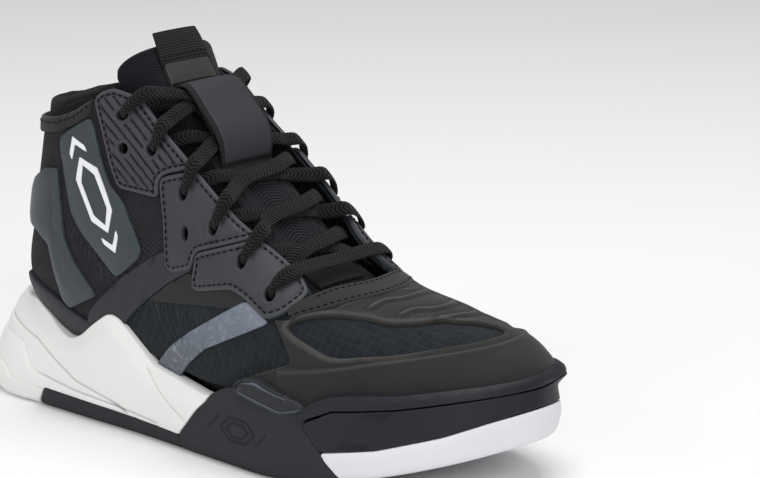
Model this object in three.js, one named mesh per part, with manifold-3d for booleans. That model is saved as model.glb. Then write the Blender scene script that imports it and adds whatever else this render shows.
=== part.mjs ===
// Lace-up mid-high riding sneaker, right foot.  Millimetres, +X toe, -Y outer side, +Z up.
import * as THREE from 'three';
import { mergeVertices } from 'three/addons/utils/BufferGeometryUtils.js';
import Module from 'manifold-3d';

const wasm = await Module();
wasm.setup();

// ---- driving dimensions -------------------------------------------------------------------
const SOLE_TOE_SPRING = 22;      // rise of the sole under the toe tip
const SPRING_START = 40;         // x where the sole leaves the ground
const SPRING_LENGTH = 110;       // run of the toe spring
const KERF = 0.32;               // gap between touching sole pieces
// Rings of the upper shells (station numbers, closer round the toe and heel), points per ring.
const SHELL_RINGS = [0.04, 0.35, 0.8, 1.4, 2.1, 3, 4, 5, 6, 6.7, 7.3, 7.8, 8.3, 9, 10, 11, 12];
const SHELL_COLUMNS = 24;
const BASE = [-1.5, 0];          // inner and outer offset of the base layer from the last
const OVERLAY = [0.4, 2.0];      // second layer: leather, film and moulded pieces
const STIFFENER = [-3.1, -1.9];  // counter, toe puff and ankle guards
const LINING = [-5.6, -4.4];     // foot lining
const CUP = [2.4, 5.2];          // inner and outer offset of the sole wall
const EYELET_RADIUS = 2.9;
const LACE_WIDTH = 7.0;
const LACE_THICKNESS = 2.2;
const TONGUE_THICKNESS = 4.6;
const FRAME_SHIFT = [1.45, 1.4, 0];   // moves the bottom centre of the whole shoe to the origin
const SHANK = { length: 110, width: 26, thickness: 1.6, x: -38, z: 11.6 };

// Stations of the last from toe tip to collar: bottom/back point (x, z), top/front point
// (x, z), outer and inner half width, centre y, height of the widest line, roundness up, down.
const STATIONS = [
  [144, 30, 144, 30, 0, 0, 14, 0.40, 2.3, 2.3],
  [131, 26, 128, 57, 30, 29, 12, 0.38, 2.3, 2.6],
  [102, 21, 97, 67, 43, 40, 7, 0.36, 2.3, 3.0],
  [62, 17, 62, 75, 49, 45, 2, 0.36, 2.4, 3.2],
  [22, 16, 37, 90, 47, 43, 0, 0.36, 2.9, 3.2],
  [-18, 17, 17, 109, 42, 40, 0, 0.36, 3.6, 3.2],
  [-58, 20, -1, 127, 39, 38, 0, 0.38, 4.0, 3.0],
  [-97, 25, -15, 140, 38, 37, 0, 0.40, 4.0, 2.7],
  [-128, 46, -27, 150, 38, 37, 0, 0.44, 3.8, 2.3],
  [-126, 75, -38, 158, 38, 37, 0, 0.48, 3.4, 2.2],
  [-121, 104, -48, 165, 37, 36, 0, 0.50, 3.0, 2.1],
  [-115, 132, -57, 172, 36, 35, 0, 0.50, 2.6, 2.1],
  [-109, 158, -66, 180, 36, 35, 0, 0.50, 2.6, 2.1],
];
const LAST_T = STATIONS.length - 1;

// Outline of the sole on the ground, heel round to heel.
const SOLE_OUTLINE = [
  [-151, 0], [-145, -23], [-122, -37], [-75, -42], [-30, -45], [20, -51], [60, -54],
  [100, -46], [130, -27], [145, -4], [148, 14], [138, 34], [110, 47], [70, 51], [25, 48],
  [-25, 41], [-75, 39], [-122, 36], [-145, 22],
];

// Eyelets: [t, |v|] positions on the last, lowest pair first, and the spare lock holes.
const EYELETS = [[3.77, 0.268], [4.46, 0.27], [5.23, 0.295], [6.09, 0.315], [7.34, 0.305], [8.64, 0.325]];
const SPARE_HOLES = [[5.65, 0.385], [7.9, 0.37]];

// ---- curves and the last surface ------------------------------------------------------------
function catmull(rows, t) {
  const n = rows.length;
  const i = Math.min(Math.max(Math.floor(t), 0), n - 2);
  const u = t - i;
  const p1 = rows[i], p2 = rows[i + 1];
  const p0 = i > 0 ? rows[i - 1] : p1.map((a, k) => 2 * a - p2[k]);
  const p3 = i < n - 2 ? rows[i + 2] : p2.map((a, k) => 2 * a - p1[k]);
  return p1.map((a, k) => 0.5 * (2 * a + (p2[k] - p0[k]) * u
    + (2 * p0[k] - 5 * a + 4 * p2[k] - p3[k]) * u * u
    + (3 * a - p0[k] - 3 * p2[k] + p3[k]) * u ** 3));
}

// Heights and widths are carried squared so that the toe rounds over at its first station.
const SQUARED = STATIONS.map(([bx, bz, tx, tz, wl, wm, ...rest]) =>
  [bx, bz, tx, tz, wl * wl, wm * wm, ...rest, (tx - bx) ** 2 + (tz - bz) ** 2]);

// Point of the last: t runs toe to collar, v from -1 (outer, bottom) over 0 (top) to 1.
function lastPoint(t, v) {
  if (v > 1) v -= 2;
  if (v < -1) v += 2;
  const [bx, bz, tx, tz, wl2, wm2, yc, f, nu, nl, h2] = catmull(SQUARED, t);
  let dx = tx - bx, dz = tz - bz;
  if (t < 1) {
    const k = Math.sqrt(Math.max(h2, 0)) / (Math.hypot(dx, dz) + 1e-9);
    dx *= k; dz *= k;
  }
  const phi = Math.PI / 2 - Math.abs(v) * Math.PI;
  const n = phi >= 0 ? nu : nl;
  const rise = Math.abs(Math.sin(phi)) ** (2 / n);
  const s = phi >= 0 ? f + (1 - f) * rise : f - f * rise;
  const half = Math.sqrt(Math.max(v < 0 ? wl2 : wm2, 0));
  const w = (v < 0 ? -half : half) * Math.abs(Math.cos(phi)) ** (2 / n);
  return new THREE.Vector3(bx + dx * s, yc + w, bz + dz * s);
}

function lastNormal(t, v) {
  const e = 2e-3;
  const t0 = Math.max(t - e, 0.02), t1 = Math.min(t + e, LAST_T);
  const a = lastPoint(t1, v).sub(lastPoint(t0, v));
  const b = lastPoint(t, v + e).sub(lastPoint(t, v - e));
  return b.cross(a).normalize();
}

function skin(t, v, offset) {
  return lastPoint(t, v).addScaledVector(lastNormal(t, v), offset);
}

const spring = x => SOLE_TOE_SPRING * Math.max((x - SPRING_START) / SPRING_LENGTH, 0) ** 1.8;

// ---- solids -----------------------------------------------------------------------------------
function solidFrom(geometry) {
  const g = geometry.clone();
  g.deleteAttribute('normal');
  g.deleteAttribute('uv');
  const m = mergeVertices(g, 1e-4);
  return new wasm.Manifold(new wasm.Mesh({
    numProp: 3,
    vertProperties: new Float32Array(m.attributes.position.array),
    triVerts: new Uint32Array(m.index.array),
  }));
}

function geometryFrom(solid) {
  const mesh = solid.getMesh();
  const g = new THREE.BufferGeometry();
  g.setAttribute('position', new THREE.BufferAttribute(new Float32Array(mesh.vertProperties), 3));
  g.setIndex(new THREE.BufferAttribute(new Uint32Array(mesh.triVerts), 1));
  return g;
}

// Closed body from rings of equal length; the ends close on their own middle points.
function ringBody(rings) {
  const n = rings[0].length;
  const pos = [], idx = [];
  for (const ring of rings) for (const p of ring) pos.push(p.x, p.y, p.z);
  for (let i = 0; i + 1 < rings.length; i++) {
    for (let j = 0; j < n; j++) {
      const a = i * n + j, b = i * n + (j + 1) % n, c = a + n, d = b + n;
      idx.push(a, b, d, a, d, c);
    }
  }
  for (const [ring, row, flip] of [[rings[0], 0, 1], [rings.at(-1), rings.length - 1, 0]]) {
    const mid = new THREE.Vector3();
    for (const p of ring) mid.addScaledVector(p, 1 / n);
    const m = pos.length / 3;
    pos.push(mid.x, mid.y, mid.z);
    for (let j = 0; j < n; j++) {
      const a = row * n + j, b = row * n + (j + 1) % n;
      if (flip) idx.push(b, a, m); else idx.push(a, b, m);
    }
  }
  const g = new THREE.BufferGeometry();
  g.setAttribute('position', new THREE.BufferAttribute(new Float32Array(pos), 3));
  g.setIndex(idx);
  return g;
}

// The last grown by `offset`, as a solid from the toe to the top of the collar.
function lastSolid(offset, columns = SHELL_COLUMNS) {
  const stations = SHELL_RINGS.filter(t => t > 0.1 || offset > -4);
  const rings = stations.map(t => Array.from({ length: columns }, (_, j) =>
    skin(t, 2 * (j + 0.5) / columns - 1, offset)));
  return solidFrom(ringBody(rings));
}

function shell([inner, outer], columns) {
  return lastSolid(outer, columns).subtract(lastSolid(inner, columns));
}

// Prism through the shoe from a side outline (x, z), between two y planes.
function sidePrism(outline, y0 = -90, y1 = 90) {
  const shape = new THREE.Shape(outline.map(([x, z]) => new THREE.Vector2(x, z)));
  const g = new THREE.ExtrudeGeometry(shape, { depth: y1 - y0, bevelEnabled: false });
  g.rotateX(Math.PI / 2);
  g.translate(0, y1, 0);
  return solidFrom(g);
}

// Prism from a plan outline (x, y), between two heights.
function planPrism(outline, z0 = -20, z1 = 220) {
  const shape = new THREE.Shape(outline.map(([x, y]) => new THREE.Vector2(x, y)));
  const g = new THREE.ExtrudeGeometry(shape, { depth: z1 - z0, bevelEnabled: false });
  g.translate(0, 0, z0);
  return solidFrom(g);
}

// Strip of width `width` along an open side polyline.
function sideStrip(line, width) {
  const left = [], right = [];
  line.forEach(([x, z], i) => {
    const [x0, z0] = line[Math.max(i - 1, 0)];
    const [x1, z1] = line[Math.min(i + 1, line.length - 1)];
    const l = Math.hypot(x1 - x0, z1 - z0);
    const nx = -(z1 - z0) / l * width / 2, nz = (x1 - x0) / l * width / 2;
    left.push([x + nx, z + nz]);
    right.unshift([x - nx, z - nz]);
  });
  return sidePrism([...left, ...right]);
}

// Closed loft with caps between an outer and an inner grid of points.
function slab(grid) {
  const nu = grid.length, nv = grid[0].length;
  const pos = [], idx = [];
  for (const side of [0, 1]) for (const row of grid) for (const cell of row) pos.push(...cell[side]);
  const at = (s, i, j) => s * nu * nv + i * nv + j;
  const quad = (a, b, c, d) => idx.push(a, b, c, a, c, d);
  for (let i = 0; i + 1 < nu; i++) {
    for (let j = 0; j + 1 < nv; j++) {
      quad(at(0, i, j), at(0, i, j + 1), at(0, i + 1, j + 1), at(0, i + 1, j));
      quad(at(1, i, j), at(1, i + 1, j), at(1, i + 1, j + 1), at(1, i, j + 1));
    }
  }
  for (let i = 0; i + 1 < nu; i++) {
    quad(at(0, i, 0), at(0, i + 1, 0), at(1, i + 1, 0), at(1, i, 0));
    quad(at(0, i + 1, nv - 1), at(0, i, nv - 1), at(1, i, nv - 1), at(1, i + 1, nv - 1));
  }
  for (let j = 0; j + 1 < nv; j++) {
    quad(at(0, 0, j + 1), at(0, 0, j), at(1, 0, j), at(1, 0, j + 1));
    quad(at(0, nu - 1, j), at(0, nu - 1, j + 1), at(1, nu - 1, j + 1), at(1, nu - 1, j));
  }
  const g = new THREE.BufferGeometry();
  g.setAttribute('position', new THREE.BufferAttribute(new Float32Array(pos), 3));
  g.setIndex(idx);
  return g;
}

// Rectangular patch of the last between t and v limits, `inner` to `outer` offset (numbers or
// functions of t and v).
function patch([t0, t1, nt], [v0, v1, nv], inner, outer, centre = () => 0) {
  const value = (f, t, v) => (typeof f === 'function' ? f(t, v) : f);
  const grid = [];
  for (let i = 0; i <= nt; i++) {
    const t = t0 + (t1 - t0) * i / nt;
    const row = [];
    for (let j = 0; j <= nv; j++) {
      const v = v0 + (v1 - v0) * j / nv + centre(t);
      row.push([skin(t, v, value(outer, t, v)).toArray(), skin(t, v, value(inner, t, v)).toArray()]);
    }
    grid.push(row);
  }
  return slab(grid);
}

// The largest body of a solid, without the slivers and pockets a cut can leave.
function mainBody(solid) {
  return solid.decompose().reduce((a, b) => (b.volume() > a.volume() ? b : a));
}

const HALVES = { lateral: [-90, -0.2], medial: [0.2, 90] };

// ---- the object ---------------------------------------------------------------------------------
const COLOURS = {
  white: [0xeceae8, 0.62], charcoal: [0x3e3f44, 0.7], bumper: [0x2a2e34, 0.6],
  leather: [0x55575c, 0.58], ribbed: [0x58595d, 0.55], tpu: [0x545c5f, 0.45],
  ballistic: [0x232226, 0.9], mesh: [0x1e2226, 0.92], film: [0x3a3736, 0.6],
  nubuck: [0x4b4846, 0.85], reflective: [0x697382, 0.35], tongue: [0x1e2024, 0.92],
  webbing: [0x323030, 0.9], lace: [0x2d2b2c, 0.88], band: [0x424248, 0.8],
  board: [0x8c8274, 0.9], steel: [0x8f9296, 0.4], foam: [0x3a3c40, 0.9],
};
const shoe = new THREE.Group();

function add(name, solidOrGeometry, colour) {
  const g = solidOrGeometry.isBufferGeometry ? solidOrGeometry : geometryFrom(mainBody(solidOrGeometry));
  g.translate(...FRAME_SHIFT);
  const [hex, roughness] = COLOURS[colour];
  const mesh = new THREE.Mesh(g, new THREE.MeshStandardMaterial({ color: hex, roughness, metalness: 0 }));
  if (colour === 'steel') mesh.material.metalness = 0.9;
  mesh.name = name;
  shoe.add(mesh);
}

// -- sole --
// Upper edge of the sole wall in side view, heel to toe.
const WALL_TOP = [
  [-150, 47], [-118, 45], [-104, 41], [-86, 33.5], [-78, 36], [-56, 51], [-46, 49], [-28, 33],
  [10, 27], [22, 33], [31, 36], [56, 30.5], [66, 31], [84, 41], [112, 44], [134, 48], [152, 50],
];

function soleRing(height, grow) {
  const n = SOLE_OUTLINE.length, ring = [];
  const loop = new THREE.CatmullRomCurve3(SOLE_OUTLINE.map(([x, y]) => new THREE.Vector3(x, y, 0)), true);
  for (let j = 0; j < n * 2; j++) {
    const p = loop.getPoint(j / (n * 2)), q = loop.getTangent(j / (n * 2));
    const heel = THREE.MathUtils.smoothstep(-p.x, 60, 140);
    const toe = THREE.MathUtils.smoothstep(p.x, 90, 150);
    const inset = grow - (heel * 0.26 + toe * 0.3) * Math.max(height - 14, 0);
    ring.push(new THREE.Vector3(p.x + q.y * inset, p.y - q.x * inset, height + spring(p.x)));
  }
  return ring;
}

function buildSole() {
  const rings = [[-12, -7], [0, -2.2], [2.2, 0], [9, 1.6], [20, 0.5], [34, -1.2], [64, -5]]
    .map(([height, grow]) => soleRing(height, grow));
  const block = solidFrom(ringBody(rings));
  const ground = [150, 135, 120, 105, 90, 75, 60, SPRING_START].map(x => [x, spring(x)]);
  const trim = sidePrism([[-190, 0], [-190, 47], ...WALL_TOP, [190, 50], [190, 40], ...ground]);
  const wall = lastSolid(CUP[1]);
  return block.add(wall).intersect(trim).subtract(lastSolid(CUP[0]));
}

const HEEL_FRONT = [[14, 45], [13, 29], [-5, 7], [-7, -5]];       // midsole to forefoot shell
const STRIP = [[-103, -5], [-95, 9.5], [-50, 8.5], [-5, 7]];     // top of the rear outsole
const BUMPER_BACK = [[82, 60], [85, 41], [70, 27.5], [80, 17]];    // forefoot shell to toe bumper
const TOE_SPLIT = [[74, -5], [80, 17], [104, 21], [128, 28], [140, 33], [165, 40]];
const soleBlock = buildSole();
const kerfs = [HEEL_FRONT, STRIP, BUMPER_BACK, TOE_SPLIT].map(line => sideStrip(line, KERF))
  .reduce((a, b) => a.add(b));
const sole = soleBlock.subtract(kerfs);
const shankPocket = sidePrism([
  [SHANK.x - SHANK.length / 2 - 0.4, SHANK.z - 0.4], [SHANK.x + SHANK.length / 2 + 0.4, SHANK.z - 0.4],
  [SHANK.x + SHANK.length / 2 + 0.4, 40], [SHANK.x - SHANK.length / 2 - 0.4, 40],
], -SHANK.width / 2 - 0.4, SHANK.width / 2 + 0.4);
const soleRegions = {
  heel_midsole: [[[-190, -20], STRIP[0], STRIP[1], STRIP[2], STRIP[3], HEEL_FRONT[1],
    HEEL_FRONT[0], [14, 80], [-190, 80]], 'white'],
  rear_outsole: [[STRIP[0], STRIP[1], STRIP[2], STRIP[3], HEEL_FRONT[3], [-8, -20],
    [-103, -20]], 'charcoal'],
  forefoot_shell: [[[-7, -20], HEEL_FRONT[3], HEEL_FRONT[2], HEEL_FRONT[1], HEEL_FRONT[0], [14, 80],
    [82, 80], BUMPER_BACK[0], BUMPER_BACK[1], BUMPER_BACK[2], BUMPER_BACK[3], TOE_SPLIT[0],
    [74, -20]], 'charcoal'],
  toe_bumper: [[BUMPER_BACK[3], BUMPER_BACK[2], BUMPER_BACK[1], BUMPER_BACK[0], [82, 80], [190, 80],
    [190, 50], TOE_SPLIT[5], TOE_SPLIT[4], TOE_SPLIT[3], TOE_SPLIT[2]], 'bumper'],
  toe_outsole: [[TOE_SPLIT[0], ...TOE_SPLIT.slice(1), [190, 50], [190, -20], [74, -20]], 'white'],
};
for (const [name, [region, colour]] of Object.entries(soleRegions)) {
  add(name, sole.intersect(sidePrism(region)).subtract(shankPocket), colour);
}

// -- upper shells, split in side view --
// Everything under this line is upper: collar, top of the facing, throat, then all of the toe.
const UPPER_TOP = [
  [-190, -20], [-190, 131], [-115, 131], [-88, 134.5], [-76, 139], [-65, 146.5], [-56, 150],
  [-44, 147], [-27, 133], [-11, 122], [13, 103], [23, 96], [45, 81], [53, 75], [60, 71.5],
  [63, 100], [200, 100], [200, -20],
];
const QUARTER_FRONT = [[46, 100], [40, 69], [20, 59], [4, 49], [-10, 38], [-22, 26], [-26, -20]];
const BOARD_OUTLINE = [
  [-114, 0], [-108, -18], [-80, -24], [-30, -24], [20, -28], [60, -31], [95, -25], [120, -8],
  [126, 12], [118, 26], [98, 34], [65, 33], [25, 27], [-30, 23], [-80, 23], [-108, 17],
];

const eyeletCutters = [...EYELETS, ...SPARE_HOLES].flatMap(([t, v]) => [-v, v].map(w => {
  const axis = lastNormal(t, w), at = skin(t, w, 0);
  const g = new THREE.CylinderGeometry(EYELET_RADIUS, EYELET_RADIUS, 14, 10);
  g.applyQuaternion(new THREE.Quaternion().setFromUnitVectors(new THREE.Vector3(0, 1, 0), axis));
  g.translate(at.x, at.y, at.z);
  return solidFrom(g);
})).reduce((a, b) => a.add(b));

const upperTrim = sidePrism(UPPER_TOP);
const base = shell(BASE).intersect(upperTrim).subtract(eyeletCutters);
const overlay = shell(OVERLAY).intersect(upperTrim).subtract(eyeletCutters);
const boardPrism = planPrism(BOARD_OUTLINE, -20, 44);
const boardGap = planPrism(BOARD_OUTLINE.map(([x, y]) => [x * 1.004 + 0.2, y * 1.02]), -20, 44);

add('strobel_board', shell(BASE).intersect(boardPrism).intersect(sidePrism([[-117, -9], [-117, 44],
  [140, 44], [140, -9]])), 'board');
const quarterZone = [[-190, -20], [-190, 190], [46, 190], ...QUARTER_FRONT];
const vampZone = [...QUARTER_FRONT.map(([x, z]) => [x + 0.35, z]), [200, -20], [200, 190], [46.35, 190]];
const baseOpen = base.subtract(boardGap);
for (const side of ['lateral', 'medial']) {
  add(`quarter_${side}`, baseOpen.intersect(sidePrism(quarterZone, ...HALVES[side])), 'ballistic');
}
add('vamp_mesh', baseOpen.intersect(sidePrism(vampZone)), 'mesh');

// -- second layer --
// Side outlines, drawn once and cut from the overlay shell on both sides of the shoe.
const PANELS = {
  ribbed_collar: [[[-65.5, 146], [-62, 149.5], [-56, 152], [-42, 149], [-25, 134], [-9, 122],
    [-23, 117.9], [-26.6, 115.2], [-25.6, 107.6], [-50, 108.5], [-55, 118], [-60, 133]], 'ribbed'],
  eyestay_rear: [[[-26, 115], [-23, 117.4], [-8, 121.4], [15, 104], [26, 96.6], [-1, 88], [-3, 80],
    [-16, 76], [-19, 78], [-22, 99]], 'leather'],
  eyestay_front: [[[-0.6, 87.6], [26, 96], [46, 82], [54, 75.5], [50, 69], [43, 66], [31, 73],
    [23, 76], [1, 71], [-2, 73]], 'leather'],
  side_strap: [[[-68, 53], [-51, 67], [-34, 78], [-21, 85.3], [-19.5, 77.6], [-16.2, 75.6], [-3.4, 79.4], [-19, 71], [-33, 61],
    [-47, 48], [-44, 32], [-60, 26], [-73, 38]], 'charcoal'],
  side_film: [[[-2.8, 79], [-18.6, 70.6], [-32.4, 60.8], [20, 67.8], [27.5, 71], [30, 73],
    [23, 75.5], [1, 70.5], [-2.5, 72.7]], 'film'],
  reflective_stripe: [[[41.8, 65.9], [31, 72.4], [27.8, 70.5], [13, 62], [-6, 51], [-17, 43],
    [-27, 33], [-32, 22], [-16, 18], [-12, 30], [-3, 39], [7, 47], [31, 58], [43.2, 64.6]],
  'reflective'],
};
for (const side of ['lateral', 'medial']) {
  for (const [name, [outline, colour]] of Object.entries(PANELS)) {
    add(`${name}_${side}`, overlay.intersect(sidePrism(outline, ...HALVES[side])), colour);
  }
}
const ANKLE_PANEL = {
  lateral: [[-86, 127], [-67, 138], [-64, 132], [-59.6, 118], [-54.8, 108.6], [-48, 104], [-36, 83],
    [-37, 79], [-52, 67.6], [-74, 85], [-80, 93], [-83, 106]],
  medial: [[-86, 127], [-67, 138], [-64, 132], [-59.6, 118], [-54.8, 108.6], [-48, 104], [-27, 90],
    [-26, 85], [-42, 73.6], [-60, 76], [-78, 93], [-83, 106]],
};
for (const side of ['lateral', 'medial']) {
  add(`ankle_panel_${side}`, overlay.intersect(sidePrism(ANKLE_PANEL[side], ...HALVES[side])), 'tpu');
}
const HEEL_FIN = [[-88, 112], [-86, 94], [-84.6, 80], [-78.6, 70], [-65, 57], [-84, 47.6],
  [-93, 51], [-111, 55.4], [-150, 59], [-150, 100], [-118, 101], [-97, 111]];
const HEEL_RAND = [[-150, 58.6], [-111, 55], [-93, 50.6], [-84.4, 47.2], [-74, 44], [-76, 36],
  [-66, 24], [-150, 24]];
add('heel_fin', overlay.intersect(sidePrism(HEEL_FIN)), 'tpu');
add('heel_rand', overlay.intersect(sidePrism(HEEL_RAND)), 'charcoal');
add('collar_binding', overlay.intersect(sidePrism([[-150, 140], [-150, 126], [-115, 126],
  [-88, 129.5], [-76, 134], [-66.4, 140.4], [-65.9, 150]])), 'webbing');

// Toe: a band round the front of the throat and the moulded cap in front of it.
const THROAT_BAND = {
  outer: [[45.5, -52], [52, -41], [61, -29], [68, -12], [70, 2], [68, 15], [60, 29], [51, 39], [44, 50]],
  inner: [[43, 45], [54.5, 27], [59, 14], [60.5, 2], [59, -10], [54.6, -28], [44.6, -46]],
};
const bandZone = planPrism([...THROAT_BAND.outer, ...THROAT_BAND.inner], 60, 100);
const facing = sidePrism([[-10, 110], [-2, 71], [23, 74.8], [31, 72], [42.4, 65.3], [50.4, 68.4],
  [54.5, 75.2], [57, 110]]);
add('throat_band', overlay.intersect(bandZone).subtract(facing), 'nubuck');
const CAP_SIDE = [[47, 66], [55, 57], [60, 50], [44, 44], [28, 36], [24, 22], [60, 12], [170, 12],
  [170, 90], [47, 90]];
const MESH_WINDOW = [[56, -43.5], [66, -29], [88, -23], [111, -7], [125, 14], [118, -14], [98, -34],
  [80, -41], [62, -45]];
const capCut = planPrism([...THROAT_BAND.outer.map(([x, y]) => [x + 0.4, y]), [-20, 50], [-20, -52]],
  62, 100);
const windows = planPrism(MESH_WINDOW, 40, 100)
  .add(planPrism(MESH_WINDOW.filter(([x]) => x < 124).map(([x, y]) => [x, 3.4 - y * 0.9]).reverse(), 40, 100));
add('toe_cap', overlay.intersect(sidePrism(CAP_SIDE)).subtract(capCut).subtract(windows)
  .subtract(boardGap).subtract(sidePrism([[20, 74], [46.6, 66], [47, 90], [20, 90]])), 'nubuck');

// -- hidden stiffeners and linings --
const stiffener = shell(STIFFENER);
add('heel_counter', stiffener.intersect(sidePrism([[-150, 26], [-78, 26], [-68, 40], [-84, 68],
  [-110, 80], [-150, 82]])).subtract(boardGap), 'board');
add('toe_puff', stiffener.intersect(sidePrism([[106, 36], [104, 90], [160, 90], [160, 36]]))
  .subtract(boardGap), 'board');
const GUARD = { x: -58, z: 80, radius: 20 };
const guardOutline = Array.from({ length: 16 }, (_, i) => [
  GUARD.x + GUARD.radius * Math.cos(i * Math.PI / 8), GUARD.z + GUARD.radius * Math.sin(i * Math.PI / 8)]);
for (const side of ['lateral', 'medial']) {
  add(`ankle_protector_${side}`, stiffener.intersect(sidePrism(guardOutline, ...HALVES[side])), 'foam');
}
const LINING_TOP = [[-190, -20], [-190, 92], [-112, 94], [-80, 100], [-50, 106], [-38, 110],
  [-22, 99], [-2, 84], [18, 71], [38, 59], [56, 61], [60, 100], [200, 100], [200, -20]];
add('foot_lining', shell(LINING, 18).intersect(sidePrism(LINING_TOP)), 'foam');
const PADDING = [[-190, 93.5], [-112, 95.5], [-80, 101.5], [-53, 107.5], [-50, 120], [-58, 138],
  [-63, 148], [-76, 148.5], [-92, 143.5], [-112, 141], [-190, 141]];
add('collar_padding', shell([-7.5, -2.0], 18).intersect(sidePrism(PADDING)), 'foam');
add('insole', patch([0.95, 7.2, 14], [0.8, 1.2, 4], -10.8, -7.3), 'foam');
const shank = new THREE.BoxGeometry(SHANK.length, SHANK.width, SHANK.thickness);
shank.translate(SHANK.x, 0, SHANK.z + SHANK.thickness / 2);
add('shank', shank, 'steel');

// -- tongue --
const TONGUE_OFFSET = [[3.2, -6.6], [4.2, -9], [5.2, -11], [6.3, -12.5], [7.3, -12], [8.4, -9],
  [9.1, -5.5], [9.7, -2], [10.6, 3]];
function tongueTop(t) {
  const k = TONGUE_OFFSET.findIndex(([a]) => a >= t);
  const [t1, o1] = TONGUE_OFFSET[Math.max(k, 1)] ?? TONGUE_OFFSET.at(-1);
  const [t0, o0] = TONGUE_OFFSET[Math.max(k, 1) - 1];
  return k < 0 ? TONGUE_OFFSET.at(-1)[1] : o0 + (o1 - o0) * THREE.MathUtils.clamp((t - t0) / (t1 - t0), 0, 1);
}
const tongueHalf = t => 0.33 - 0.06 * THREE.MathUtils.smoothstep(t, 6.5, 9);
const onTongue = (lift, thickness) => [t => tongueTop(t) + lift, t => tongueTop(t) + lift + thickness];

function tonguePatch([t0, t1, nt], half, nv, [inner, outer]) {
  const width = typeof half === 'function' ? half : () => half;
  const grid = [];
  for (let i = 0; i <= nt; i++) {
    const t = t0 + (t1 - t0) * i / nt;
    grid.push(Array.from({ length: nv + 1 }, (_, j) => {
      const v = width(t) * (2 * j / nv - 1);
      return [skin(t, v, outer(t, v)).toArray(), skin(t, v, inner(t, v)).toArray()];
    }));
  }
  return slab(grid);
}
add('tongue', tonguePatch([3.25, 10.6, 22], tongueHalf, 8, onTongue(-TONGUE_THICKNESS, TONGUE_THICKNESS)),
  'tongue');
add('tongue_webbing', tonguePatch([4.3, 5.75, 6], 0.085, 2, onTongue(0.5, 0.9)), 'webbing');
const BAND = { from: 6.0, to: 8.75, stand: 12 };
const bandLift = t => 0.35 + BAND.stand * (1 - Math.abs(2 * (t - BAND.from) / (BAND.to - BAND.from) - 1) ** 4);
add('lace_lock_band', tonguePatch([BAND.from, BAND.to, 14], 0.078, 2,
  [t => tongueTop(t) + bandLift(t), t => tongueTop(t) + bandLift(t) + 1.3]), 'band');
add('tongue_badge', tonguePatch([8.85, 9.6, 3], 0.09, 3, onTongue(0.8, 1.5)), 'tpu');
add('tongue_pull_tab', tonguePatch([9.8, 11.5, 6], 0.085, 2, [
  t => tongueTop(t) + 0.8 + 0.8 * Math.max(t - 10.6, 0), t => tongueTop(t) + 2.5 + 0.8 * Math.max(t - 10.6, 0)]),
'webbing');
add('lace_keeper', tonguePatch([3.46, 3.78, 2], 0.07, 3, onTongue(0.6, 0.8)), 'tpu');

// -- laces: one flat braid, laced criss-cross from the bottom bar up --
const EDGE = [[3.5, 0.155], [4.46, 0.165], [5.23, 0.205], [6.09, 0.235], [7.34, 0.242], [8.64, 0.254]];
const OUT = 4.3, UNDER = -4.4, NARROW = 3.2;

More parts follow.
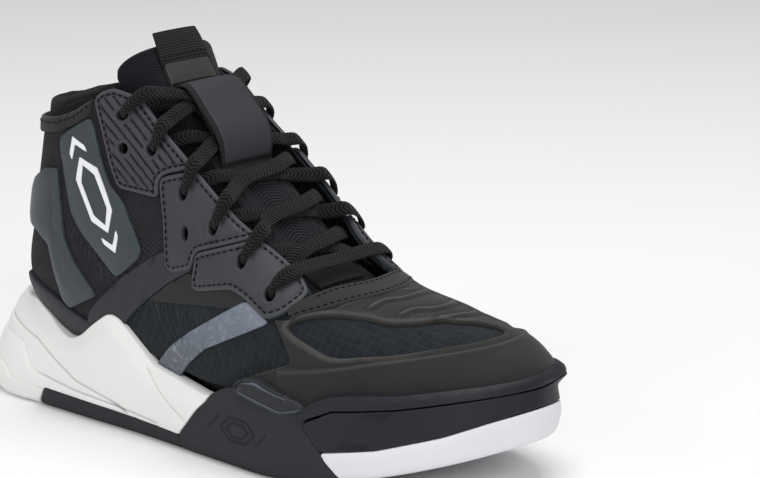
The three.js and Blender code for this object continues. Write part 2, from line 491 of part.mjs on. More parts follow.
function laceRoute() {
  // Each node is [t, v, offset, width].  `eye` goes through eyelet k on side s, upwards or down.
  const nodes = [];
  const eye = (k, s, up) => {
    const [t, v] = EYELETS[k];
    const steps = [[t, s * (v - 0.035), UNDER, 4.6], [t, s * (v - 0.008), -2.3, NARROW], [t, s * v, 0.2, NARROW],
      [t, s * (v - 0.008), 2.8, NARROW], [t, s * (v - 0.035), OUT, 4.8]];
    nodes.push(...(up ? steps : steps.reverse()));
  };
  // Crossing from side s at eyelet k to the other side at eyelet k + 1.
  const cross = (k, s, high) => {
    const [ta] = EYELETS[k], [tb] = EYELETS[k + 1];
    const tm = (ta + tb) / 2, dip = tongueTop(tm) + (high ? 5.7 : 3.1);
    nodes.push([ta + 0.12 * (tb - ta), s * (EDGE[k][1] - 0.02), OUT, LACE_WIDTH]);
    nodes.push([tm - 0.28 * (tb - ta), s * (EDGE[k][1] - 0.06), (OUT + dip) / 2, LACE_WIDTH]);
    nodes.push([tm - 0.14 * (tb - ta), s * 0.075, dip + 0.8, LACE_WIDTH]);
    nodes.push([tm, 0, dip, LACE_WIDTH]);
    nodes.push([tm + 0.22 * (tb - ta), -s * 0.11, (dip + UNDER) / 2 - (high ? 0.2 : 1), LACE_WIDTH]);
    nodes.push([tb - 0.1 * (tb - ta), -s * EDGE[k + 1][1], UNDER - 0.1, LACE_WIDTH]);
  };
  const tail = s => {
    const lift = t => tongueTop(t) + 8.1;
    nodes.push([8.62, s * 0.21, OUT, LACE_WIDTH], [8.42, s * 0.14, -0.5, LACE_WIDTH]);
    nodes.push([8.2, s * 0.08, lift(8.2), 6]);
    for (const t of [7.9, 7.5, 7.1, 6.7]) nodes.push([t, s * 0.036, lift(t), 5.6]);
  };
  // Strand one is built from its tail at the top back down to the bottom bar, strand two from the
  // bar up, so that the whole braid is a single run.
  const strand = (first, overFirst) => {
    nodes.length = 0;
    let side = first;
    eye(0, side, false);
    const [t1] = EYELETS[1];
    const [t0] = EYELETS[0];
    const tm = (t0 + t1) / 2, dip = tongueTop(tm) + (overFirst ? 5.7 : 3.1);
    nodes.push([t0 + 0.1, side * 0.16, UNDER - 0.6, LACE_WIDTH], [tm, 0, dip, LACE_WIDTH],
      [t1 - 0.1, -side * 0.17, UNDER - 0.4, LACE_WIDTH]);
    side = -side;
    for (let k = 1; k < 6; k++) {
      eye(k, side, true);
      if (k < 5) { cross(k, side, (k % 2 === 0) === overFirst); side = -side; }
    }
    tail(side);
    return nodes.map(n => [...n]);
  };
  const one = strand(-1, true), two = strand(1, false);
  const bar = [[3.74, -0.18, OUT + 0.5, LACE_WIDTH], [3.7, -0.09, 1.6, LACE_WIDTH], [3.68, 0, 0, LACE_WIDTH],
    [3.7, 0.09, 1.6, LACE_WIDTH], [3.74, 0.18, OUT + 0.5, LACE_WIDTH]];
  return [...one.reverse(), ...bar, ...two];
}

function sweepLace(route, perSpan) {
  const samples = [];
  for (let i = 0; i + 1 < route.length; i++) {
    for (let j = 0; j < perSpan; j++) samples.push(catmull(route, i + j / perSpan));
  }
  samples.push(route.at(-1));
  const at = samples.map(([t, v, o]) => skin(t, v, o));
  const rings = at.map((p, i) => {
    const [t, v, , width] = samples[i];
    const tangent = at[Math.min(i + 1, at.length - 1)].clone().sub(at[Math.max(i - 1, 0)]).normalize();
    const along = lastPoint(t + 0.02, v).sub(lastPoint(t - 0.02, v)).normalize();
    const side = along.addScaledVector(tangent, -along.dot(tangent)).normalize();
    const up = new THREE.Vector3().crossVectors(side, tangent);
    return [[-0.5, 0], [-0.34, 0.5], [0.34, 0.5], [0.5, 0], [0.34, -0.5], [-0.34, -0.5]].map(([a, b]) =>
      p.clone().addScaledVector(side, a * width).addScaledVector(up, b * LACE_THICKNESS));
  });
  return ringBody(rings);
}
add('laces', sweepLace(laceRoute(), 1), 'lace');

export default shoe;
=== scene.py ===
"""Lace-up mid-high riding sneaker, right foot, built piece by piece round its solid frame.

Shapes are worked out in millimetres on two surfaces: the last, which every upper panel follows,
and the sole wall.  Meshes are written in metres, in the frame's own axes.
"""
import math

import bpy
import numpy as np
from mathutils import Matrix, Vector
from mathutils.geometry import delaunay_2d_cdt


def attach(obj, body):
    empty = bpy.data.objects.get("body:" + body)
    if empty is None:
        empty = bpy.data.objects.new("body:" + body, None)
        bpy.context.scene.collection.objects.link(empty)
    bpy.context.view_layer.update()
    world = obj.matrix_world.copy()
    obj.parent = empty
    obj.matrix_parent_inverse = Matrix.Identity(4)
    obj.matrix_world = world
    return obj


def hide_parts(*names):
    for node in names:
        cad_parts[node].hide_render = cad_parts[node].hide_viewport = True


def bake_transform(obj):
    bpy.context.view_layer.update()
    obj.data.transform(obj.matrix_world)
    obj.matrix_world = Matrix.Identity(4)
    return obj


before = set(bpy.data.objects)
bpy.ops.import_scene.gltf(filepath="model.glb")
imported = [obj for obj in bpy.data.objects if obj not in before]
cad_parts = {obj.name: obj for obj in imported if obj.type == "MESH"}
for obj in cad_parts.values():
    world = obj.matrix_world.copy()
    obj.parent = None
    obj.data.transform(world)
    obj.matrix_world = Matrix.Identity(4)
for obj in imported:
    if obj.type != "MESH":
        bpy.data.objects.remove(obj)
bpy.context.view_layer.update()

bl_info = {
    "name": "Riding Sneaker",
    "version": (1, 0, 0),
    "blender": (4, 5, 0),
    "location": "View3D > Sidebar > Sneaker",
    "description": "Builds a lace-up riding sneaker piece by piece round its solid frame",
    "category": "Object",
}

SHIFT = np.array([1.45, 1.4, 0.0])     # bottom centre of the shoe to the origin, mm
SPRING_RISE, SPRING_START, SPRING_LENGTH = 22.0, 40.0, 110.0

# Stations of the last from toe tip to collar: bottom/back point (x, z), top/front point
# (x, z), outer and inner half width, centre y, height of the widest line, roundness up, down.
STATIONS = np.array([
    [144, 30, 144, 30, 0, 0, 14, 0.40, 2.3, 2.3],
    [131, 26, 128, 57, 30, 29, 12, 0.38, 2.3, 2.6],
    [102, 21, 97, 67, 43, 40, 7, 0.36, 2.3, 3.0],
    [62, 17, 62, 75, 49, 45, 2, 0.36, 2.4, 3.2],
    [22, 16, 37, 90, 47, 43, 0, 0.36, 2.9, 3.2],
    [-18, 17, 17, 109, 42, 40, 0, 0.36, 3.6, 3.2],
    [-58, 20, -1, 127, 39, 38, 0, 0.38, 4.0, 3.0],
    [-97, 25, -15, 140, 38, 37, 0, 0.40, 4.0, 2.7],
    [-128, 46, -27, 150, 38, 37, 0, 0.44, 3.8, 2.3],
    [-126, 75, -38, 158, 38, 37, 0, 0.48, 3.4, 2.2],
    [-121, 104, -48, 165, 37, 36, 0, 0.50, 3.0, 2.1],
    [-115, 132, -57, 172, 36, 35, 0, 0.50, 2.6, 2.1],
    [-109, 158, -66, 180, 36, 35, 0, 0.50, 2.6, 2.1],
], float)

SOLE_OUTLINE = np.array([
    [-151, 0], [-145, -23], [-122, -37], [-75, -42], [-30, -45], [20, -51], [60, -54],
    [100, -46], [130, -27], [145, -4], [148, 14], [138, 34], [110, 47], [70, 51], [25, 48],
    [-25, 41], [-75, 39], [-122, 36], [-145, 22],
], float)
WALL_TOP = np.array([
    [-150, 47], [-118, 45], [-104, 41], [-94, 36.5], [-86, 34], [-78, 36.5], [-56, 51], [-51, 50],
    [-46, 47], [-28, 33], [10, 27], [22, 33], [31, 36], [56, 30.5], [66, 31], [74, 37], [84, 41],
    [112, 44], [134, 48], [152, 50],
], float)

# Eyelets as (t, |v|) on the last, lowest first, and the spare lock holes.
EYELETS = [(3.77, 0.268), (4.46, 0.27), (5.23, 0.295), (6.09, 0.315), (7.34, 0.305), (8.64, 0.325)]
SPARE_HOLES = [(5.65, 0.385), (7.9, 0.37)]


# ---- curves and the two surfaces --------------------------------------------------------------
def catmull(rows, t):
    """Catmull-Rom curve through `rows`, one row a unit of t, with reflected ends:
    half of (2 b + (c - a) u + (2 a - 5 b + 4 c - d) u^2 + (3 b - a - 3 c + d) u^3)."""
    i = np.clip(np.floor(t).astype(int), 0, len(rows) - 2)
    u = (t - i)[:, None]
    ends = np.vstack([2 * rows[0] - rows[1], rows, 2 * rows[-1] - rows[-2]])
    a, b, c, d = ends[i], ends[i + 1], ends[i + 2], ends[i + 3]
    return 0.5 * (2 * b + (c - a) * u + (2 * a - 5 * b + 4 * c - d) * u ** 2
                  + (3 * b - a - 3 * c + d) * u ** 3)


def squared_rows(rows):
    """Station rows with the two half widths and the section height carried squared, so that
    they close over roundly at the toe."""
    made = np.hstack([rows, ((rows[:, 2] - rows[:, 0]) ** 2 + (rows[:, 3] - rows[:, 1]) ** 2)[:, None]])
    made[:, 4:6] **= 2
    return made


LAST_ROWS = squared_rows(STATIONS)


def last_point(t, v):
    """Point of the last.  t runs from toe to collar, v from -1 (outer, bottom) over 0 (top)
    to 1 (inner, bottom).  Each section is a superellipse between its bottom and top points:
    across = half width |cos a|^(2/n), up = |sin a|^(2/n), with a = pi/2 - |v| pi."""
    v = (v + 1) % 2 - 1
    row = catmull(LAST_ROWS, t)
    bx, bz, tx, tz, wide_out, wide_in, yc, f, n_up, n_down, tall = row.T
    dx, dz = tx - bx, tz - bz
    k = np.where(t < 1, np.sqrt(np.maximum(tall, 0)) / (np.hypot(dx, dz) + 1e-9), 1.0)
    a = np.pi / 2 - np.abs(v) * np.pi
    n = np.where(a >= 0, n_up, n_down)
    rise = np.abs(np.sin(a)) ** (2 / n)
    s = np.where(a >= 0, f + (1 - f) * rise, f - f * rise)
    half = np.sqrt(np.maximum(np.where(v < 0, wide_out, wide_in), 0))
    across = np.where(v < 0, -half, half) * np.abs(np.cos(a)) ** (2 / n)
    return np.stack([bx + dx * k * s, yc + across, bz + dz * k * s], 1)


def unit(a):
    """Rows of `a` divided by their lengths."""
    return a / (np.linalg.norm(a, axis=-1, keepdims=True) + 1e-12)


def skin(t, v, off=0.0, e=4e-3):
    """Point of the last moved `off` mm along its outward normal, d/dv cross d/dt."""
    t = np.clip(t, 0.03, 12.0)
    along = last_point(np.minimum(t + e, 12.0), v) - last_point(np.maximum(t - e, 0.02), v)
    across = last_point(t, v + e) - last_point(t, v - e)
    return last_point(t, v) + unit(np.cross(across, along)) * np.reshape(off, (-1, 1))


T_TABLE = np.linspace(0.03, 12, 361)
OUTER_LINE = last_point(T_TABLE, -0.5 + 0 * T_TABLE)
U_TABLE = np.r_[0, np.cumsum(np.linalg.norm(np.diff(OUTER_LINE, axis=0), axis=1))]


def half_girths():
    """Length of half a section of the last, from the top round to the bottom, at each table t."""
    v = np.linspace(0, 1, 49)
    grid = last_point(np.repeat(T_TABLE, 49), np.tile(v, len(T_TABLE))).reshape(len(T_TABLE), 49, 3)
    return np.linalg.norm(np.diff(grid, axis=1), axis=2).sum(1)


HALF_TABLE = half_girths()


class LastSheet:
    """The last unrolled: u is the length along its side from the toe, w the length round the
    section from v = centre, both in mm.  `lift` adds an offset that depends on t."""

    def __init__(self, centre=0.0, lift=None):
        self.centre, self.lift = centre, lift

    def tv(self, u, w):
        """(t, v) of unrolled points."""
        t = np.interp(u, U_TABLE, T_TABLE)
        return t, self.centre + w / np.interp(t, T_TABLE, HALF_TABLE)

    def flat(self, tv):
        """Unrolled points of (t, v) rows."""
        t, v = np.asarray(tv, float).T
        v = v + 2 * np.round((self.centre - v) / 2 + 1e-9) if self.centre else v
        return np.stack([np.interp(t, T_TABLE, U_TABLE),
                         (v - self.centre) * np.interp(t, T_TABLE, HALF_TABLE)], 1)

    def at(self, u, w, off=0.0):
        """Points in mm."""
        t, v = self.tv(u, w)
        return skin(t, v, off + (self.lift(t) if self.lift else 0.0))


FRONT, BACK = LastSheet(0.0), LastSheet(1.0)


def newton_on_last(miss, t, v, off):
    """(t, v) where miss(point) = 0, by Newton's method with difference quotients, all at once."""
    e = 1e-3
    for _ in range(14):
        f = miss(skin(t, v, off))
        ft = (miss(skin(t + e, v, off)) - f) / e
        fv = (miss(skin(t, v + e, off)) - f) / e
        det = ft[:, 0] * fv[:, 1] - ft[:, 1] * fv[:, 0]
        det = np.where(np.abs(det) < 1e-6, 1e-6, det)
        t = np.clip(t - np.clip((f[:, 0] * fv[:, 1] - f[:, 1] * fv[:, 0]) / det, -0.3, 0.3), 0.05, 11.98)
        v = v - np.clip((ft[:, 0] * f[:, 1] - ft[:, 1] * f[:, 0]) / det, -0.05, 0.05)
    return t, v, np.linalg.norm(miss(skin(t, v, off)), axis=1)


def searched(miss_of, t, v, error, off):
    """Second go at points that Newton's method missed, where the section's curve turns sharply at
    its widest line: the best of a grid about each, made finer three times."""
    for k in np.flatnonzero(error > 0.05):
        for reach in (0.3, 0.04, 0.006):
            tt, vv = (a.ravel() for a in np.meshgrid(t[k] + np.linspace(-1, 1, 41) * reach,
                                                     v[k] + np.linspace(-1, 1, 41) * reach * 0.12))
            best = np.linalg.norm(miss_of(k, skin(tt, vv, off)), axis=1).argmin()
            t[k], v[k] = tt[best], vv[best]
    return np.stack([t, v], 1)


def guesses(v_low, v_high, off):
    """A coarse grid of (t, v) and its points, from which the nearest one starts the search."""
    t, v = (a.ravel() for a in np.meshgrid(np.linspace(0.15, 11.9, 95), np.linspace(v_low, v_high, 45)))
    return t, v, skin(t, v, off)


def on_side(points, side=-1, off=1.5):
    """(t, v) of points given in side view (x, z) on the outer (-1) or inner (1) side."""
    points = np.asarray(points, float)
    t, v, grid = guesses(0.03 * side, 0.97 * side, off)
    k = ((grid[None, :, ::2] - points[:, None]) ** 2).sum(2).argmin(1)
    t, v, error = newton_on_last(lambda p: p[:, ::2] - points, t[k], v[k], off)
    return searched(lambda k, p: p[:, ::2] - points[k], t, v, error, off)


def on_plan(points, off=1.5):
    """(t, v) of points given in plan (x, y) on the top of the foot."""
    points = np.asarray(points, float)
    t, v, grid = guesses(-0.47, 0.47, off)
    k = ((grid[None, :, :2] - points[:, None]) ** 2).sum(2).argmin(1)
    t, v, error = newton_on_last(lambda p: p[:, :2] - points, t[k], v[k], off)
    return searched(lambda k, p: p[:, :2] - points[k], t, v, error, off)


def on_heel(z, off=1.5):
    """(t, 1) of the middle of the heel's back at a height z."""
    t = np.linspace(7, 12, 400)
    return np.array([[np.interp(z, skin(t, np.ones(400), off)[:, 2], t), 1.0]])


def spring(x):
    """Height of the ground side of the sole: rise ((x - start) / length)^1.8 ahead of the ball."""
    return SPRING_RISE * np.maximum((x - SPRING_START) / SPRING_LENGTH, 0) ** 1.8


GROW_H = np.array([-30, -12, -2, 0, 2.2, 9, 20, 34, 64])
GROW = np.array([-30, -14, -4, -2.2, 0, 1.6, 0.5, -1.2, -5])


class WallSheet:
    """The outside of the sole: s runs round the outline from the middle of the heel along the
    outer side, h is the height over the ground line, and h < 0 runs inwards under the sole."""

    def __init__(self):
        n = len(SOLE_OUTLINE)
        k = np.linspace(0, n, n * 40 + 1)
        loop = catmull(np.vstack([SOLE_OUTLINE[-1], SOLE_OUTLINE, SOLE_OUTLINE[:2]]), k + 1)
        self.s = np.r_[0, np.cumsum(np.linalg.norm(np.diff(loop, axis=0), axis=1))]
        self.length = self.s[-1]
        along = unit(np.roll(loop[:-1], -1, 0) - np.roll(loop[:-1], 1, 0))
        along = np.vstack([along, along[:1]])
        self.loop, self.out = loop, np.stack([along[:, 1], -along[:, 0]], 1)
        self.tip = loop[:, 0].argmax()
        self.heights = np.arange(16.0, 62.0, 2.0)
        self.turns = 150
        self.cup = self.cup_table()

    def place(self, s):
        """Plan point and outward direction at s."""
        s = s % self.length
        pick = lambda rows: np.stack([np.interp(s, self.s, rows[:, k]) for k in (0, 1)], 1)
        return pick(self.loop), unit(pick(self.out))

    def cup_table(self):
        """How far out the last, grown by 5.2 mm, stands from the outline at each (s, height)."""
        s, h = (a.ravel() for a in np.meshgrid(np.arange(self.turns) * self.length / self.turns,
                                               self.heights, indexing="ij"))
        at, out = self.place(s)
        z = h + spring(at[:, 0])
        miss = lambda p: np.stack([(p[:, 0] - at[:, 0]) * out[:, 1] - (p[:, 1] - at[:, 1]) * out[:, 0],
                                   p[:, 2] - z], 1)
        t, v, grid = guesses(-1, 1, 5.2)
        best = np.zeros(len(s), int)
        for rows in np.array_split(np.arange(len(s)), 12):
            d = grid[None, :, :2] - at[rows, None]
            side = d[..., 0] * out[rows, None, 1] - d[..., 1] * out[rows, None, 0]
            far = (d * out[rows, None]).sum(2)
            cost = side ** 2 + (grid[None, :, 2] - z[rows, None]) ** 2 + np.where(far < -32, 1e6, 0)
            best[rows] = cost.argmin(1)
        t, v, error = newton_on_last(miss, t[best], v[best], 5.2)
        far = ((skin(t, v, 5.2)[:, :2] - at) * out).sum(1)
        table = np.where((error < 0.5) & (np.abs(far) < 30), far, np.nan).reshape(self.turns, -1)
        for _ in range(40):     # gaps take the mean of their neighbours round the sole
            near = np.stack([np.roll(table, 1, 0), np.roll(table, -1, 0),
                             np.c_[table[:, 1:], np.full((self.turns, 1), np.nan)]])
            count = (~np.isnan(near)).sum(0)
            mean = np.nansum(near, 0) / np.maximum(count, 1)
            table = np.where(np.isnan(table) & (count > 0), mean, table)
        return np.nan_to_num(table, nan=-20.0)

    def cup_out(self, s, h):
        """The cup table read smoothly: cosine-eased between rows and columns."""
        a = (s % self.length) / self.length * self.turns
        b = np.clip((h - self.heights[0]) / 2.0, 0, len(self.heights) - 1.001)
        i, j = a.astype(int) % self.turns, b.astype(int)
        fa, fb = (a % 1), b - j
        i2 = (i + 1) % self.turns
        t = self.cup
        low, high = t[i, j] * (1 - fa) + t[i2, j] * fa, t[i, j + 1] * (1 - fa) + t[i2, j + 1] * fa
        return low * (1 - fb) + high * fb - np.maximum(24 - h, 0) * 1.6

    def outward(self, s, h):
        """Distance of the wall from the outline: the moulded block's own flare, or the cup
        round the foot where that stands further out, joined by a smooth maximum."""
        at, _ = self.place(s)
        x = at[:, 0]
        lean = 0.26 * smooth((-x - 60) / 80) + 0.08 * smooth((x - 90) / 60)
        grown = sum(np.interp(h + d, GROW_H, GROW) for d in (-1.2, -0.4, 0.4, 1.2)) / 4
        block = grown - lean * np.maximum(h - 14, 0)
        cup = self.cup_out(s, h)
        return np.logaddexp(block / 0.8, cup / 0.8) * 0.8

    def raw(self, s, h):
        """Wall points before any offset."""
        at, out = self.place(s)
        flat = at + out * self.outward(s, h)[:, None]
        return np.c_[flat, np.maximum(h, 0) + spring(flat[:, 0])]

    def at(self, s, h, off=0.0, e=1.2):
        """Wall points moved `off` mm outwards."""
        p = self.raw(s, h)
        along, upwards = self.raw(s + e, h) - self.raw(s - e, h), self.raw(s, h + e) - self.raw(s, h - e)
        normal = unit(np.cross(along, upwards))
        return p + normal * np.reshape(off, (-1, 1))

    def inside(self, s, h):
        """Points of the wall's inner face, against the upper."""
        at, out = self.place(s)
        far = np.minimum(self.outward(s, h) - 3.4, self.cup_out(s, h) - 6.4)
        far = np.where(h < 20, self.outward(s, h) - 3.0, far)
        flat = at + out * far[:, None]
        return np.c_[flat, np.maximum(h, 2.4) + spring(flat[:, 0])]

    def flat(self, points, side=-1, heel=False):
        """(s, h) of side-view points (x, z) on the outer or inner side.  z < 0 is under the sole.
        With `heel`, the inner side's s is negative, so that a loop may cross the heel's middle."""
        x, z = np.asarray(points, float).T
        half = slice(0, self.tip + 1) if side < 0 else slice(self.tip, None)
        xs, ss = self.loop[half, 0], self.s[half]
        order = np.argsort(xs)
        s = np.interp(x, xs[order], ss[order])
        if heel and side > 0:
            s = s - self.length
        return np.stack([s, np.where(z < 0, z, z - spring(x))], 1)


def lean(q, deep=2.1, reach=8.0, low=20.0):
    """How far a wall's upper margin leans in towards the foot: deep smoothstep(1 - d / reach)
    within `reach` of its edge, above the height `low`."""
    return -deep * smooth(1 - q.edge / reach) * smooth((q.b - low) / 6)


def smooth(a):
    """Smoothstep: 3 a^2 - 2 a^3 with a held between 0 and 1."""
    a = np.clip(a, 0, 1)
    return a * a * (3 - 2 * a)


def bell(a, width):
    """exp(-(a / width)^2)."""
    return np.exp(-(a / width) ** 2)


# ---- outlines ----------------------------------------------------------------------------------
def rounded(points, radius=2.0, closed=True, step=2.0):
    """The polygon with each corner turned into a quadratic arc that starts `radius` before it,
    then cut into pieces no longer than `step`."""
    p = np.asarray(points, float)
    before, after = np.roll(p, 1, 0), np.roll(p, -1, 0)
    reach = lambda q: np.minimum(radius, 0.45 * np.linalg.norm(q - p, axis=1))[:, None]
    a, b = p + unit(before - p) * reach(before), p + unit(after - p) * reach(after)
    k = np.linspace(0, 1, 5)[None, :, None]
    arcs = (1 - k) ** 2 * a[:, None] + 2 * k * (1 - k) * p[:, None] + k ** 2 * b[:, None]
    if not closed:
        arcs[0], arcs[-1] = p[0], p[-1]
    line = arcs.reshape(-1, p.shape[1])
    return divided(line, step, closed)


def divided(line, step, closed=True):
    """A polyline cut evenly by length into pieces of about `step`."""
    if closed:
        line = np.vstack([line, line[:1]])
    s = np.r_[0, np.cumsum(np.linalg.norm(np.diff(line, axis=0), axis=1))]
    keep = np.r_[True, np.diff(s) > 1e-6]
    s, line = s[keep], line[keep]
    n = max(int(np.ceil(s[-1] / step)), 3)
    k = np.linspace(0, s[-1], n + 1)
    made = np.stack([np.interp(k, s, line[:, c]) for c in range(line.shape[1])], 1)
    return made[:-1] if closed else made


def flow(points, step=2.0, closed=False):
    """A Catmull-Rom curve through the points, cut evenly."""
    p = np.asarray(points, float)
    if closed:
        p = np.vstack([p[-1:], p, p[:2]])
        line = catmull(p, np.linspace(1, len(p) - 2, (len(p) - 3) * 8 + 1))[:-1]
    else:
        line = catmull(p, np.linspace(0, len(p) - 1, (len(p) - 1) * 8 + 1))
    return divided(line, step, closed)


def distance_to(points, lines, closed=True):
    """Least distance from each point to the segments of several polylines."""
    a, b = [], []
    for line in lines:
        a.append(line if closed else line[:-1])
        b.append(np.roll(line, -1, 0) if closed else line[1:])
    a, b = np.vstack(a), np.vstack(b)
    d = b - a
    dd = (d * d).sum(1) + 1e-12
    best = np.empty(len(points))
    for rows in np.array_split(np.arange(len(points)), max(len(points) * len(a) // 600000, 1)):
        q = points[rows, None] - a[None]
        k = np.clip((q * d).sum(2) / dd, 0, 1)
        best[rows] = np.sqrt(((q - k[..., None] * d) ** 2).sum(2).min(1))
    return best


def contains(points, loops):
    """Even-odd rule over all the loops: whether a ray along x crosses their edges an odd
    number of times."""
    a = np.vstack(loops)
    b = np.vstack([np.roll(loop, -1, 0) for loop in loops])
    inside = np.empty(len(points), bool)
    for rows in np.array_split(np.arange(len(points)), max(len(points) * len(a) // 2000000, 1)):
        x, y = points[rows, :1], points[rows, 1:]
        spans = (a[:, 1] > y) != (b[:, 1] > y)
        rise = np.where(a[:, 1] == b[:, 1], 1.0, b[:, 1] - a[:, 1])
        inside[rows] = (spans & (x < (b[:, 0] - a[:, 0]) * (y - a[:, 1]) / rise + a[:, 0])).sum(1) % 2 == 1
    return inside


def turned(loop, anticlockwise):
    """The loop in the wanted sense."""
    x, y = loop.T
    area = (x * np.roll(y, -1) - y * np.roll(x, -1)).sum()
    return loop if (area > 0) == anticlockwise else loop[::-1]


def inward(sheet, loop, distance):
    """The loop moved into the piece by `distance` mm as measured on the surface."""
    step = np.roll(loop, -1, 0) - np.roll(loop, 1, 0)
    n = unit(np.stack([-step[:, 1], step[:, 0]], 1))
    e = 0.4
    there = sheet.at(*(loop + n * e).T) - sheet.at(*loop.T)
    scale = e / np.maximum(np.linalg.norm(there, axis=1), 0.05)
    return loop + n * (np.clip(scale, 0.4, 2.5) * distance)[:, None]


def triangles_in(sheet, loops, spacing, rows, guides=()):
    """Triangulates the area of the loops: their own points, rows of points just inside the
    edges and along the guide lines, and an even triangular grid over the rest."""
    points = [loop for loop in loops]
    lines = []
    for line in guides:
        line = divided(line, 0.9, False)
        lines.append(line)
        across = np.gradient(line, axis=0)
        across = unit(np.stack([-across[:, 1], across[:, 0]], 1))
        for d in (-1.3, -0.75, -0.3, 0.3, 0.75, 1.3):
            row = line + across * d
            row = row[contains(row, loops)]
            points.append(row[distance_to(row, loops) > 0.9])
    for distance in rows:
        for loop in loops:
            row = inward(sheet, loop, distance)
            good = contains(row, loops) & (distance_to(row, loops) > 0.6 * min(distance, 1.0) * 0.8)
            points.append(row[good])
    low, high = loops[0].min(0), loops[0].max(0)
    gx, gy = np.meshgrid(np.arange(low[0], high[0], spacing), np.arange(low[1], high[1], spacing * 0.866))
    gx[1::2] += spacing / 2
    grid = np.stack([gx.ravel(), gy.ravel()], 1)
    grid = grid[contains(grid, loops)]
    margin = (rows[-1] if len(rows) else 0) + 0.5 * spacing
    grid = grid[distance_to(grid, loops) > margin]
    if lines:
        grid = grid[distance_to(grid, lines, False) > 1.3 + 0.45 * spacing]
    points.append(grid)
    edges, start = [], 0
    for loop in loops:
        n = len(loop)
        edges += [(start + i, start + (i + 1) % n) for i in range(n)]
        start += n
    every = np.vstack(points)
    made = delaunay_2d_cdt([Vector(p) for p in every.tolist()], edges, [], 0, 1e-5, False)
    flat = np.array([tuple(p) for p in made[0]], float)
    faces = np.array(made[2], int)
    faces = faces[contains(flat[faces].mean(1), loops)]
    a, b, c = flat[faces[:, 0]], flat[faces[:, 1]], flat[faces[:, 2]]
    area = (b[:, 0] - a[:, 0]) * (c[:, 1] - a[:, 1]) - (b[:, 1] - a[:, 1]) * (c[:, 0] - a[:, 0])
    faces = faces[np.abs(area) > 1e-7]
    area = area[np.abs(area) > 1e-7]
    faces[area < 0] = faces[area < 0][:, ::-1]
    used, faces = np.unique(faces, return_inverse=True)
    return flat[used], faces.reshape(-1, 3)


# ---- meshes -------------------------------------------------------------------------------------
def write_mesh(name, points, faces, uv=None, values=None, finish=None, body="shoe", slot=None,
               stands_for=(), sharp=48):
    """Puts points (mm) and faces into a new object, shaded smooth, riding on `body` if it has one."""
    mesh = bpy.data.meshes.new(name)
    mesh.from_pydata(((np.asarray(points) + SHIFT) / 1000).astype(np.float32), [], faces)
    mesh.polygons.foreach_set("use_smooth", np.ones(len(mesh.polygons), bool))
    corner = np.empty(len(mesh.loops), np.int32)
    mesh.loops.foreach_get("vertex_index", corner)
    if uv is not None:
        layer = mesh.uv_layers.new(name="Pattern")
        layer.data.foreach_set("uv", np.asarray(uv, np.float32)[corner].ravel())
    for key, value in (values or {}).items():
        layer = mesh.attributes.new(key, "FLOAT", "POINT")
        layer.data.foreach_set("value", np.asarray(value, np.float32))
    mesh.validate()
    mesh.update()
    if sharp:
        mesh.set_sharp_from_angle(angle=math.radians(sharp))
    piece = bpy.data.objects.new(name, mesh)
    bpy.context.scene.collection.objects.link(piece)
    if finish:
        mesh.materials.append(FINISHES[finish])
    if body:
        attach(piece, body)
    if stands_for:
        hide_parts(*([stands_for] if isinstance(stands_for, str) else stands_for))
    return piece


class Spots:
    """What a relief may ask about the points of a panel: their place p, their sheet
    coordinates a and b, and their distance to the outer edge and to the nearest hole."""

    def __init__(self, p, a, b, edge, hole):
        self.p, self.a, self.b, self.edge, self.hole = p, a, b, edge, hole


def panel(name, sheet, loops, under, over, relief=None, spacing=1.6, rim=0.9, round_under=False,
          under_points=None, hole_rim=None, guides=(), bend=None, **mesh):
    """A closed piece on a sheet, between the offsets `under` and `over`.  Its top falls to its
    edge as a quarter circle of radius `rim`: over - rim (1 - sqrt(1 - (1 - d / rim)^2)) at a
    distance d from the edge, and `relief` (mm) is added to that."""
    loops = [turned(divided(loop, min(spacing, 1.8)), k == 0) for k, loop in enumerate(loops)]
    rows = [rim * k for k in (0.12, 0.4, 0.8, 1.3)]
    flat, faces = triangles_in(sheet, loops, spacing, rows, guides)
    a, b = flat.T
    p = sheet.at(a, b, 1.0)
    rings = [sheet.at(*loop.T, 1.0) for loop in loops]
    edge = distance_to(p, rings[:1])
    hole = distance_to(p, rings[1:]) if len(rings) > 1 else np.full(len(p), 99.0)
    spots = Spots(p, a, b, edge, hole)
    value = lambda f: f(spots) if callable(f) else np.full(len(p), float(f))
    fall = lambda d, r: r * (1 - np.sqrt(np.maximum(1 - (1 - np.clip(d / r, 0, 1)) ** 2, 0)))
    drop = np.maximum(fall(edge, rim), fall(hole, hole_rim or rim))
    raised = value(relief) if relief else np.zeros(len(p))
    near = np.minimum(edge, hole)
    top_off = value(over) - drop + raised * smooth(near / max(rim, 0.5))
    top_off = top_off + (bend(spots) if bend else 0)
    if under_points:
        low = under_points(a, b)
    else:
        low = sheet.at(a, b, value(under) + (drop if round_under else 0))
    top = sheet.at(a, b, top_off)
    n = len(p)
    face_n = np.cross(top[faces[:, 1]] - top[faces[:, 0]], top[faces[:, 2]] - top[faces[:, 0]])
    outside = (face_n * (top - sheet.at(a, b, top_off - 1.0))[faces[:, 0]]).sum()
    if outside < 0:
        faces = faces[:, ::-1]
    pairs = np.vstack([faces[:, [0, 1]], faces[:, [1, 2]], faces[:, [2, 0]]])
    code = pairs[:, 0] * n + pairs[:, 1]
    rim_pairs = pairs[~np.isin(code, pairs[:, 1] * n + pairs[:, 0])]
    i, j = rim_pairs.T
    side = np.vstack([np.stack([j, i, i + n], 1), np.stack([j, i + n, j + n], 1)])
    every = np.vstack([faces, faces[:, ::-1] + n, side])
    values = {"edge": np.r_[edge, edge], "relief": np.r_[raised, raised], "hole": np.r_[hole, hole]}
    return write_mesh(name, np.vstack([top, low]), every, np.vstack([flat, flat]), values, **mesh)


